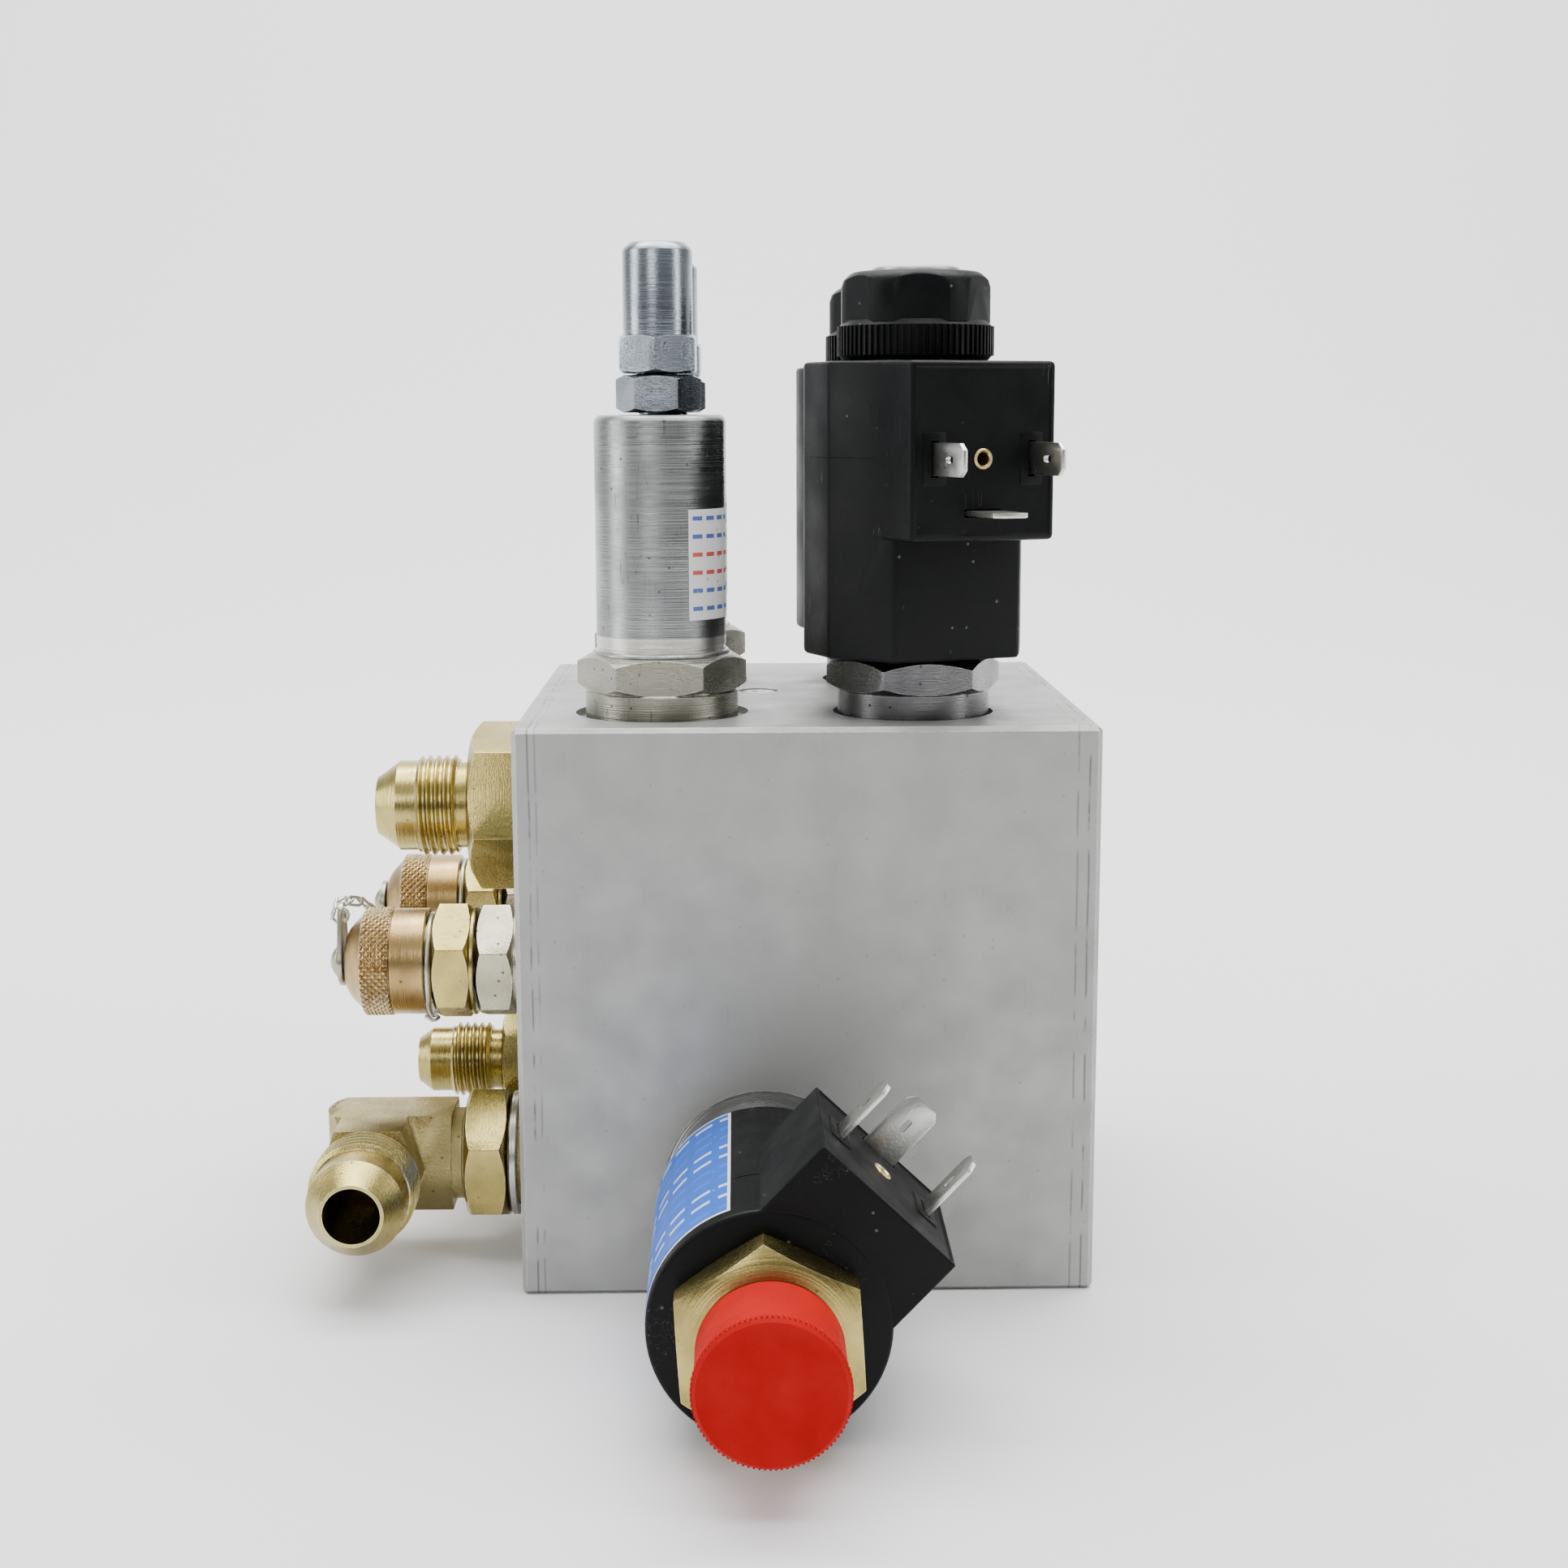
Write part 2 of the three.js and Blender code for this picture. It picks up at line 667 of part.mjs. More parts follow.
// Coil with its connector facing +X.
function coil(size) {
  const { blockWidth, blockLength, blockRoot, cornerRadius, insertRadius, insertDepth } = COIL;
  const body = extruded(coilSection(size), COIL.bottom, COIL_TOP, 22);
  const face = connectorFace(blockLength, blockWidth, cornerRadius);
  const block = extruded(face, blockRoot, size.reach, 4).rotate([0, 90, 0]);
  const pocket = moved(terminals(size.reach, GAP), 0, 0, CONTACT_LEVEL);
  const insert = rodX(insertRadius, size.reach - insertDepth, size.reach + 1, SMALL);
  const bore = rod(COIL.tubeRadius + GAP, COIL.bottom - 1, COIL_TOP + 1);
  const whole = body.add(moved(block, 0, 0, CONNECTOR_MIDDLE));
  return cut(whole, [bore, pocket, moved(insert, 0, 0, CONTACT_LEVEL)]);
}

function placeCoil(site, suffix, size, facing) {
  const turn = new THREE.Group();
  turn.rotation.z = THREE.MathUtils.degToRad(facing);
  site.add(turn);
  place(turn, `coil_${suffix}`, coil(size), FINISH.blackPlastic);
  const blades = moved(terminals(size.reach), 0, 0, CONTACT_LEVEL);
  place(turn, `coil_terminals_${suffix}`, blades, FINISH.blueZinc);
}

// Plastic coil nut: a knurled ring with a hexagon above it.
const COIL_NUT = {
  ringHeight: 6.7,
  ringRadius: 13.65,
  ringEdge: 0.8,
  hexHeight: 8.2,
  hexFlats: 24,
  hexRadius: 12.9, // the hexagon's corners are turned off to this
};

function coilNut() {
  const { ringHeight, ringRadius, ringEdge, hexHeight, hexFlats, hexRadius } = COIL_NUT;
  const bottom = COIL_TOP + GAP;
  const ringTop = bottom + ringHeight;
  const top = ringTop + hexHeight;
  const ring = lathe([
    [0, bottom],
    [ringRadius - ringEdge, bottom],
    [ringRadius, bottom + ringEdge],
    [ringRadius, ringTop - ringEdge],
    [hexRadius, ringTop],
    [0, ringTop],
  ], OUTER);
  const corners = rod(hexRadius, bottom, top + 1, OUTER);
  const hex = hexagon(hexFlats, ringTop - 0.5, top, true, false).intersect(corners);
  return ring.add(hex).subtract(rod(COIL.tubeRadius + GAP, bottom - 1, top + 1));
}

function overridePin(tubeTop) {
  return lathe([
    [0, ARMATURE.top + GAP],
    [1.7, ARMATURE.top + GAP],
    [1.7, tubeTop - 1],
    [1.3, tubeTop - 0.5],
    [0, tubeTop - 0.5],
  ], SMALL);
}

function solenoidCartridge(y, facing, end) {
  const site = frameAt(SOLENOID.x, y, BLOCK);
  const { hexTop, tubeTop } = SOLENOID;
  place(site, `solenoid_body_${end}`, solenoidBody(SOLENOID), FINISH.dark);
  place(site, `armature_tube_${end}`, armatureTube(hexTop, tubeTop, 2), FINISH.steel);
  place(site, `armature_${end}`, armature(), FINISH.steel);
  place(site, `spool_${end}`, spool(), FINISH.steel);
  place(site, `return_spring_${end}`, returnSpring(), FINISH.spring);
  place(site, `override_pin_${end}`, overridePin(tubeTop), FINISH.brass);
  placeCoil(site, end, TOP_COIL, facing);
  place(site, `coil_nut_${end}`, coilNut(), FINISH.blackPlastic);
}

// ---- front solenoid cartridge ----------------------------------------------------------

function frontNut() {
  const [bottom, top] = FRONT.nut;
  const hex = turned(hexagon(FRONT.nutFlats, bottom, top, true, true), FRONT.nutTurn);
  return hex.subtract(rod(COIL.tubeRadius + GAP, bottom - 1, top + 1));
}

// Push-on protective cap: a skirt with a slightly wider front disc.
function protectiveCap() {
  const [bottom, top] = FRONT.cap;
  const { capRadius, capRimRadius } = FRONT;
  const wall = COIL.tubeRadius + GAP;
  return lathe([
    [0, top - 1.2],
    [wall, top - 1.2],
    [wall, bottom],
    [capRadius, bottom],
    [capRadius, top - 1.6],
    [capRimRadius, top - 1.4],
    [capRimRadius, top - 0.3],
    [capRimRadius - 0.3, top],
    [0, top],
  ], OUTER);
}

function frontCartridge() {
  const site = frameAt(FRONT.x, -HALF, FRONT.z, "front");
  place(site, "solenoid_body_lower", solenoidBody(FRONT), FINISH.dark);
  place(site, "armature_tube_lower", armatureTube(FRONT.hexTop, FRONT.tubeTop, 2), FINISH.steel);
  place(site, "armature_lower", armature(), FINISH.steel);
  place(site, "spool_lower", spool(), FINISH.steel);
  place(site, "return_spring_lower", returnSpring(), FINISH.spring);
  placeCoil(site, "lower", FRONT_COIL, FRONT.facing);
  place(site, "coil_nut_lower", frontNut(), FINISH.yellowZinc);
  place(site, "protective_cap", protectiveCap(), FINISH.redPlastic);
}

// ---- fittings on the left face ---------------------------------------------------------

// End of a 37 degree flare fitting: thread, round land and cone, up to its nose.
function flareEnd({ thread, bore, neck, threadStart, threadEnd, nose }) {
  const lip = bore + 0.7;
  const land = thread - 1;
  const cone = (land - lip) / Math.tan(THREE.MathUtils.degToRad(37));
  return [
    [neck, threadStart],
    [thread, threadStart + 0.6],
    [thread, threadEnd - 0.6],
    [land, threadEnd],
    [land, nose - 0.3 - cone],
    [lip, nose - 0.3],
    [lip, nose],
    [0, nose],
  ];
}

function straightFitting(size) {
  const { stem, thread, bore, flats, hexTop, nose, turn } = size;
  const neck = thread - 1.2;
  const body = lathe([
    [0, -STEM_DEPTH],
    [stem, -STEM_DEPTH],
    [stem, hexTop - 0.5],
    [neck, hexTop - 0.5],
    ...flareEnd({ ...size, neck }),
  ]);
  const hex = turned(hexagon(flats, GAP, hexTop, true, false), turn);
  return body.add(hex).subtract(rod(bore, -STEM_DEPTH - 1, nose + 1, INNER));
}

function hoseFittings() {
  const pressure = frameAt(-HALF, PRESSURE_PORT.y, PRESSURE_PORT.z, "left");
  place(pressure, "pressure_port_fitting", straightFitting(STRAIGHT_8), FINISH.yellowZinc);
  const drain = frameAt(-HALF, DRAIN_PORT.y, DRAIN_PORT.z, "left");
  place(drain, "drain_port_fitting", straightFitting(STRAIGHT_6), FINISH.yellowZinc);
}

// Arm of the forged elbow along +Z: flat top and bottom, sides that slope to the parting
// plane. Local X is the forging's height.
function forgedArm(bottom, top) {
  const { halfWidth, halfHeight, flatHalf } = ELBOW;
  const section = new THREE.Shape();
  section.moveTo(-halfHeight, -flatHalf);
  section.lineTo(0, -halfWidth);
  section.lineTo(halfHeight, -flatHalf);
  section.lineTo(halfHeight, flatHalf);
  section.lineTo(0, halfWidth);
  section.lineTo(-halfHeight, flatHalf);
  section.closePath();
  return extruded(section, bottom, top);
}

// Elbow: threaded stem into the block, forged bend, and a flare end that points to the
// front, square to the stem.
function elbowBody() {
  const { outlet, noseY, bodyStart, halfWidth, armEnd, neckRadius, flareRadius } = ELBOW;
  const { stem: stemRadius, thread, bore } = STRAIGHT_8;
  const reach = ELBOW_PORT.y - noseY;
  const stem = lathe([
    [0, -STEM_DEPTH],
    [stemRadius, -STEM_DEPTH],
    [stemRadius, bodyStart - 2],
    [neckRadius, bodyStart - 1.4],
    [neckRadius, bodyStart + 1],
    [0, bodyStart + 1],
  ]);
  const flare = lathe([
    [0, 0],
    [flareRadius, 0],
    [flareRadius, armEnd + 1.2],
    ...flareEnd({
      thread,
      bore,
      neck: flareRadius,
      threadStart: armEnd + 1.2,
      threadEnd: armEnd + 9,
      nose: reach,
    }),
  ]);
  const outward = (shape) => moved(shape.rotate([90, 0, 0]), 0, 0, outlet);
  const corner = rod(halfWidth - 0.1, -halfWidth, halfWidth, ROUND).rotate([0, 90, 0]);
  const heel = moved(corner, 0, 0, outlet).intersect(forgedArm(bodyStart, outlet + halfWidth));
  const bend = joined([forgedArm(bodyStart, outlet), outward(forgedArm(0, armEnd)), heel]);
  const bores = [rod(bore, -STEM_DEPTH - 1, outlet, INNER), outward(rod(bore, 0, reach + 1, INNER))];
  return cut(joined([stem, bend, outward(flare)]), bores);
}

function elbowFitting() {
  const site = frameAt(-HALF, ELBOW_PORT.y, ELBOW_PORT.z, "left");
  place(site, "elbow_fitting", elbowBody(), FINISH.yellowZinc);
  const { inner, outer, bottom, top } = ELBOW_WASHER;
  const washer = lathe([
    [inner, bottom],
    [outer, bottom],
    [outer, top],
    [inner, top],
  ]);
  place(site, "elbow_seal_washer", washer, FINISH.yellowZinc);
  const hex = hexagon(ELBOW_NUT.flats, ELBOW_NUT.bottom, ELBOW_NUT.top, true, true);
  const nut = turned(hex, ELBOW_NUT.turn).subtract(rod(inner, 0, ELBOW_NUT.top + 1, INNER));
  place(site, "elbow_lock_nut", nut, FINISH.yellowZinc);
}

// ---- test points -----------------------------------------------------------------------

const TEST = {
  flats: 19,
  stem: 6.9,
  ringRadius: 9.4,
  ringTop: 2.3,
  adapterTop: 8.9,
  adapterTurn: -11, // of the hexagons, degrees
  couplingTurn: -7,
  flangeRadius: 9.8,
  flangeTop: 10,
  couplingTop: 16.8,
  plugRadius: 5,
  stubRadius: 7.7,
  stubTop: 27,
  valveBore: 1.6,
  skirtBottom: 18.1,
  skirtRadius: 9.6,
  knurlBottom: 24.3,
  knurlTop: 29.5,
  knurlRadius: 9.85,
  shoulder: [7.4, 31.1], // radius and height of two points of the domed end
  brow: [5.2, 32.7],
  domeTop: 33,
  domeFlat: 4,
};
const TAB = {
  thickness: 0.9,
  roundRadius: 4.4,
  tipRadius: 2.4,
  holeRadius: 1.5,
  holeAt: 8.6,
  rivetRadius: 2.9,
  rivetTop: 35.9,
};

function testAdapter() {
  const { flats, stem, ringRadius, ringTop, adapterTop, adapterTurn, plugRadius } = TEST;
  const lower = lathe([
    [0, -STEM_DEPTH],
    [stem, -STEM_DEPTH],
    [stem, GAP],
    [ringRadius, GAP],
    [ringRadius, ringTop],
    [0, ringTop],
  ]);
  const hex = turned(hexagon(flats, ringTop - 0.3, adapterTop, true, true), adapterTurn);
  const bore = rod(plugRadius + GAP, -STEM_DEPTH - 1, adapterTop + 1, INNER);
  return lower.add(hex).subtract(bore);
}

function testCoupling() {
  const { flats, flangeRadius, flangeTop, couplingTop, couplingTurn } = TEST;
  const { plugRadius, stubRadius, stubTop, valveBore } = TEST;
  const start = TEST.adapterTop + GAP;
  const body = lathe([
    [0, 0],
    [plugRadius, 0],
    [plugRadius, start],
    [flangeRadius, start],
    [flangeRadius, flangeTop],
    [stubRadius, flangeTop],
    [stubRadius, stubTop - 1],
    [stubRadius - 1, stubTop],
    [0, stubTop],
  ]);
  const hex = turned(hexagon(flats, flangeTop - 0.2, couplingTop, true, true), couplingTurn);
  return body.add(hex).subtract(rod(valveBore, 6, stubTop + 1, SMALL));
}

function testCap() {
  const { skirtBottom, skirtRadius, knurlBottom, knurlTop, knurlRadius } = TEST;
  const inside = TEST.stubRadius + GAP;
  return lathe([
    [0, TEST.stubTop + 1],
    [inside, TEST.stubTop + 1],
    [inside, skirtBottom],
    [skirtRadius, skirtBottom],
    [skirtRadius, knurlBottom],
    [knurlRadius, knurlBottom + 0.3],
    [knurlRadius, knurlTop - 0.3],
    [skirtRadius - 0.4, knurlTop],
    TEST.shoulder,
    TEST.brow,
    [TEST.domeFlat, TEST.domeTop],
    [0, TEST.domeTop],
  ]);
}

// Riveted strip on the cap's end with a hole near its tip for the chain; it points to +X.
function capTab() {
  const { thickness, roundRadius, tipRadius, holeRadius, holeAt, rivetRadius, rivetTop } = TAB;
  const bottom = TEST.domeTop + GAP;
  const top = bottom + thickness;
  const strip = new THREE.Shape();
  strip.absarc(0, 0, roundRadius, Math.PI / 3, (5 * Math.PI) / 3, false);
  strip.absarc(holeAt, 0, tipRadius, -Math.PI / 2, Math.PI / 2, false);
  strip.closePath();
  const rivet = lathe([
    [0, bottom],
    [rivetRadius, bottom],
    [rivetRadius, top + 0.3],
    [rivetRadius - 0.7, top + 1.2],
    [1, rivetTop],
    [0, rivetTop],
  ], SMALL);
  const hole = moved(rod(holeRadius, bottom - 1, top + 1, SMALL), holeAt, 0, 0);
  return extruded(strip, bottom, top, 8).subtract(hole).add(rivet);
}

// The cap's chain runs from the tab's hole to a ring round the coupling's neck. On the
// front cap the tab points up and the chain lies over the far side of the cap; on the
// rear cap the tab hangs down and the chain hangs under the cap in a loop.
// Route points are [angle from up towards the back, distance from the axis, distance out].
const CHAIN_RADIUS = 0.75;
const CHAIN_SIDES = 6;
const CHAIN_ROUTE = {
  front: [
    [0, 8.6, 35.3],
    [8, 9.8, 35.2],
    [24, 11.3, 33.6],
    [43, 12.5, 31.2],
    [65, 12.9, 28.8],
    [90, 12.6, 26.4],
    [115, 12.2, 24],
    [140, 12, 21.6],
    [162, 11.6, 19.2],
    [180, 10.9, 17.4],
  ],
  rear: [
    [180, 8.6, 35.3],
    [180, 10.6, 35.4],
    [180, 15.5, 33.2],
    [180, 20.5, 29.6],
    [180, 22.6, 25.6],
    [180, 20.5, 21.6],
    [180, 15.5, 18.4],
    [180, 10.2, 17.4],
  ],
};
const NECK_RING = { radius: 9.25, wire: 0.5, sag: 0.75 };
const TAB_ANGLE = { front: 0, rear: 180 };

function capChain(end) {
  const around = ([angle, distance, out]) => {
    const turn = THREE.MathUtils.degToRad(angle);
    return new THREE.Vector3(distance * Math.cos(turn), distance * Math.sin(turn), out);
  };
  const follow = (route, steps) =>
    wire(new THREE.CatmullRomCurve3(route.map(around)), CHAIN_RADIUS, steps, CHAIN_SIDES);
  const links = follow(CHAIN_ROUTE[end], 30);
  const angle = TAB_ANGLE[end];
  const inHole = [32.4, 33.8, 35.6].map((out) => [angle, TAB.holeAt, out]);
  const hook = follow(inHole, 4);
  const neck = new THREE.TorusGeometry(NECK_RING.radius, NECK_RING.wire, CHAIN_SIDES, OUTER);
  const ring = solid(neck.translate(-NECK_RING.sag, 0, TEST.couplingTop + 0.6));
  return joined([links, hook, ring]);
}

function testPoint(y, end) {
  const site = frameAt(-HALF, y, TEST_PORT.z, "left");
  place(site, `test_adapter_${end}`, testAdapter(), FINISH.blueZinc);
  place(site, `test_coupling_${end}`, testCoupling(), FINISH.yellowZinc);
  place(site, `test_cap_${end}`, testCap(), FINISH.brass);
  place(site, `test_cap_tab_${end}`, turned(capTab(), TAB_ANGLE[end]), FINISH.blueZinc);
  place(site, `test_cap_chain_${end}`, capChain(end), FINISH.blueZinc);
}

// ---- the whole valve -------------------------------------------------------------------

place(valve, "manifold_block", manifoldBlock(), FINISH.aluminium);
galleryPlugs();
["front", "rear"].forEach((end, i) => {
  reliefCartridge(RELIEF.y[i], end);
  solenoidCartridge(SOLENOID.y[i], SOLENOID.facing[i], end);
  testPoint(TEST_PORT.y[i], end);
});
frontCartridge();
hoseFittings();
elbowFitting();

export default valve;
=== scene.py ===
"""Hydraulic control manifold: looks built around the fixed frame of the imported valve.

A milled aluminium block carries two pressure relief cartridges, three solenoid cartridges,
hose fittings and capped test points. Pieces are modelled in millimetres about their own
axis, standing on +Z, and then set in place in metres.
"""

import math

import bpy
from mathutils import Euler, Matrix, Quaternion, Vector


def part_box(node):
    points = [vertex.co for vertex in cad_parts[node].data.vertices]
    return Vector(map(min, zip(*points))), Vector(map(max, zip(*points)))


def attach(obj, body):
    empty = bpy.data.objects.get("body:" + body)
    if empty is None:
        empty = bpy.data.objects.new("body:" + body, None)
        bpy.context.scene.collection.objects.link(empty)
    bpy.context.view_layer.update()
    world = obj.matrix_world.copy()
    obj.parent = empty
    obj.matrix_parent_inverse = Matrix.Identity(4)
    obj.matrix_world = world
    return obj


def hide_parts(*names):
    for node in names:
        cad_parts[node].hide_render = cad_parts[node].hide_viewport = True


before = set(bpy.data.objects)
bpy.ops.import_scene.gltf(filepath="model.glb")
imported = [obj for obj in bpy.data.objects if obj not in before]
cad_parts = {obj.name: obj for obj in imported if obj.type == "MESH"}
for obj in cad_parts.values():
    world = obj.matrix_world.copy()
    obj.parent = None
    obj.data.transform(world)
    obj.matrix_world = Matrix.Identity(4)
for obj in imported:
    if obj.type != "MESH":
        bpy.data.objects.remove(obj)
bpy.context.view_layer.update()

MM = 0.001  # one millimetre in metres
WELD = 0.0005  # points closer than this, in millimetres, become one
ENDS = ("front", "rear")
DIRECTIONS = {"up": (0, 0, 0), "front": (math.pi / 2, 0, 0), "left": (0, -math.pi / 2, 0),
              "right": (0, math.pi / 2, 0)}

# ---- modelling tools -------------------------------------------------------------------


def only(*objects):
    """Selects these objects and nothing else; the first one is active."""
    bpy.ops.object.select_all(action="DESELECT")
    for o in objects:
        o.select_set(True)
    bpy.context.view_layer.objects.active = objects[0]
    return objects[0]


def new_line(points):
    """An open line through the points, left in edit mode with all of it selected."""
    bpy.ops.object.select_all(action="DESELECT")
    bpy.ops.mesh.primitive_plane_add(size=1)
    bpy.ops.object.mode_set(mode="EDIT")
    bpy.ops.mesh.select_mode(type="VERT")
    bpy.ops.mesh.merge(type="CENTER")
    here = Vector((0, 0, 0))
    for i, point in enumerate(points):
        step = Vector(point) - here
        if i == 0:
            bpy.ops.transform.translate(value=step)
        else:
            bpy.ops.mesh.extrude_region_move(TRANSFORM_OT_translate={"value": step})
        here = Vector(point)
    bpy.ops.mesh.select_all(action="SELECT")
    return bpy.context.object


def turned(outline, steps=72):
    """Part turned about +Z from its outline of (radius, height) points."""
    closed = list(outline)
    if closed[0][0] > 0 or closed[-1][0] > 0:
        closed.append(closed[0])
    piece = new_line([(r, 0, z) for r, z in closed])
    bpy.ops.mesh.remove_doubles(threshold=WELD)
    bpy.ops.mesh.select_all(action="SELECT")
    bpy.ops.mesh.spin(steps=steps, angle=2 * math.pi, center=(0, 0, 0), axis=(0, 0, 1))
    bpy.ops.mesh.select_all(action="SELECT")
    bpy.ops.mesh.remove_doubles(threshold=WELD)
    bpy.ops.mesh.normals_make_consistent(inside=False)
    bpy.ops.object.mode_set(mode="OBJECT")
    return piece


def plate(points, bottom, top):
    """Flat outline of (x, y) points extruded along +Z."""
    piece = new_line([(x, y, bottom) for x, y in points])
    bpy.ops.mesh.edge_face_add()
    bpy.ops.mesh.select_all(action="SELECT")
    move = {"value": (0, 0, top - bottom)}
    bpy.ops.mesh.extrude_region_move(TRANSFORM_OT_translate=move)
    bpy.ops.mesh.select_all(action="SELECT")
    bpy.ops.mesh.normals_make_consistent(inside=False)
    bpy.ops.object.mode_set(mode="OBJECT")
    return piece


def polygon(radius, sides, turn=0.0):
    """Corners of a regular polygon, the first one at the turn in degrees."""
    angles = [math.radians(turn + 360 / sides * i) for i in range(sides)]
    return [(radius * math.cos(a), radius * math.sin(a)) for a in angles]


def slab(low, high):
    """Box between two corners."""
    (x0, y0, z0), (x1, y1, z1) = low, high
    return plate([(x0, y0), (x1, y0), (x1, y1), (x0, y1)], z0, z1)


def soften(piece, width, segments=2, angle=30):
    """Rounds the edges that are sharper than the angle."""
    only(piece)
    bevel = piece.modifiers.new("softened", "BEVEL")
    bevel.width, bevel.segments = width, segments
    bevel.limit_method, bevel.angle_limit = "ANGLE", math.radians(angle)
    bpy.ops.object.modifier_apply(modifier=bevel.name)
    return piece


def combine(piece, tool, how):
    """Adds, cuts or keeps the shared part of another solid, and uses that solid up."""
    only(piece)
    work = piece.modifiers.new("work", "BOOLEAN")
    work.operation, work.object, work.solver = how, tool, "EXACT"
    bpy.ops.object.modifier_apply(modifier=work.name)
    bpy.data.objects.remove(tool)
    return piece


def added(piece, *tools):
    for tool in tools:
        combine(piece, tool, "UNION")
    return piece


def cut(piece, *tools):
    for tool in tools:
        combine(piece, tool, "DIFFERENCE")
    return piece


def kept_inside(piece, envelope):
    return combine(piece, envelope, "INTERSECT")


def with_parts(piece, *parts):
    """Joins separate shells into one piece."""
    only(piece, *parts)
    bpy.ops.object.join()
    return piece


def shifted(piece, move=(0, 0, 0), turn=(0, 0, 0)):
    """Turns the piece by three angles in degrees, then moves it, both for good."""
    only(piece)
    piece.rotation_euler = [math.radians(a) for a in turn]
    piece.location = move
    bpy.ops.object.transform_apply(location=True, rotation=True, scale=True)
    return piece


def copied(piece):
    twin = piece.copy()
    twin.data = piece.data.copy()
    bpy.context.collection.objects.link(twin)
    return twin


def spare(*patterns):
    """Removes patterns once their copies are in place."""
    for pattern in patterns:
        bpy.data.objects.remove(pattern)


def choose_faces(piece, wanted):
    """Enters edit mode with only the faces selected for which wanted(centre, normal) holds."""
    only(piece)
    bpy.ops.object.mode_set(mode="EDIT")
    bpy.ops.mesh.select_mode(type="FACE")
    bpy.ops.mesh.select_all(action="DESELECT")
    bpy.ops.object.mode_set(mode="OBJECT")
    for face in piece.data.polygons:
        face.select = wanted(face.center, face.normal)
    bpy.ops.object.mode_set(mode="EDIT")


def rod(radius, bottom, top, steps=48):
    return turned([(0, bottom), (radius, bottom), (radius, top), (0, top)], steps)


def hexagon(flats, bottom, top, turn=0.0, crown_top=True, crown_bottom=False, edge=0.12):
    """Hexagon with a corner turned to the angle, its ends chamfered at 30 degrees."""
    corner = flats / math.sqrt(3)
    prism = plate(polygon(corner, 6, turn), bottom, top)
    soften(prism, edge, 2, 40)
    crown, rim = flats * 0.475, corner + 0.2
    slope = (rim - crown) * math.tan(math.radians(30))
    outline = [(0, bottom)]
    outline += [(crown, bottom), (rim, bottom + slope)] if crown_bottom else [(rim, bottom)]
    outline += [(rim, top - slope), (crown, top)] if crown_top else [(rim, top)]
    outline.append((0, top))
    return kept_inside(prism, shifted(turned(outline, 96), turn=(0, 0, turn + 1.3)))


def thread_ridge(crest, root, pitch, bottom, top, steps=40):
    """Helical ridge of a screw thread, trimmed by cones at both ends of its length."""
    profile = [(root - 0.15, 0), (crest, pitch * 0.42), (crest, pitch * 0.54),
               (root - 0.15, pitch * 0.94)]
    turns = int((top - bottom) / pitch) + 2
    ridge = new_line([(r, 0, z + bottom - pitch) for r, z in profile + profile[:1]])
    bpy.ops.mesh.remove_doubles(threshold=WELD)
    bpy.ops.object.mode_set(mode="OBJECT")
    only(ridge)
    screw = ridge.modifiers.new("helix", "SCREW")
    screw.axis, screw.angle, screw.screw_offset = "Z", 2 * math.pi, pitch
    screw.iterations, screw.steps, screw.render_steps = turns, steps, steps
    screw.use_merge_vertices = False
    bpy.ops.object.modifier_apply(modifier=screw.name)
    bpy.ops.object.mode_set(mode="EDIT")
    bpy.ops.mesh.select_all(action="DESELECT")
    bpy.ops.mesh.select_mode(type="EDGE")
    bpy.ops.mesh.select_non_manifold(extend=False)
    bpy.ops.mesh.fill_holes(sides=8)
    bpy.ops.mesh.select_all(action="SELECT")
    bpy.ops.mesh.normals_make_consistent(inside=False)
    bpy.ops.object.mode_set(mode="OBJECT")
    lead = (crest - root) * 1.1
    envelope = turned([(0, bottom), (root - 0.05, bottom), (crest + 0.1, bottom + lead),
                       (crest + 0.1, top - lead), (root - 0.05, top), (0, top)], 48)
    return kept_inside(ridge, envelope)


def raised(piece, inset, height):
    """Insets every chosen face on its own and raises it into a small block."""
    bpy.ops.mesh.inset(thickness=inset, depth=height, use_individual=True)
    bpy.ops.object.mode_set(mode="OBJECT")
    return piece


def diamond_band(radius, bottom, top, around, rows, height):
    """Ring with a diamond knurl: crossed grooves that leave a pyramid in each diamond."""
    step = (top - bottom) / rows
    levels = [(radius, bottom + i * step) for i in range(rows + 1)]
    ring = turned([(radius - 1, bottom)] + levels + [(radius - 1, top)], around)
    choose_faces(ring, lambda c, n: math.hypot(c.x, c.y) > radius * 0.98 and abs(n.z) < 0.3)
    bpy.ops.mesh.poke()
    bpy.ops.object.mode_set(mode="OBJECT")
    only(ring)
    bpy.ops.object.mode_set(mode="EDIT")
    bpy.ops.mesh.select_mode(type="EDGE")
    bpy.ops.mesh.select_all(action="DESELECT")
    bpy.ops.object.mode_set(mode="OBJECT")
    points = ring.data.vertices
    for edge in ring.data.edges:
        a, b = (points[i].co for i in edge.vertices)
        outside = min(math.hypot(a.x, a.y), math.hypot(b.x, b.y)) > radius * 0.98
        inner_level = bottom + step / 2 < (a.z + b.z) / 2 < top - step / 4
        upright = abs(a.z - b.z) > step * 0.9
        level = abs(a.z - b.z) < 0.001 and inner_level
        edge.select = outside and (upright or level)
    bpy.ops.object.mode_set(mode="EDIT")
    bpy.ops.mesh.dissolve_edges(use_verts=False)
    bpy.ops.object.mode_set(mode="OBJECT")
    choose_faces(ring, lambda c, n: math.hypot(c.x, c.y) > radius * 0.97 and abs(n.z) < 0.3)
    return raised(ring, step * 0.26, height)


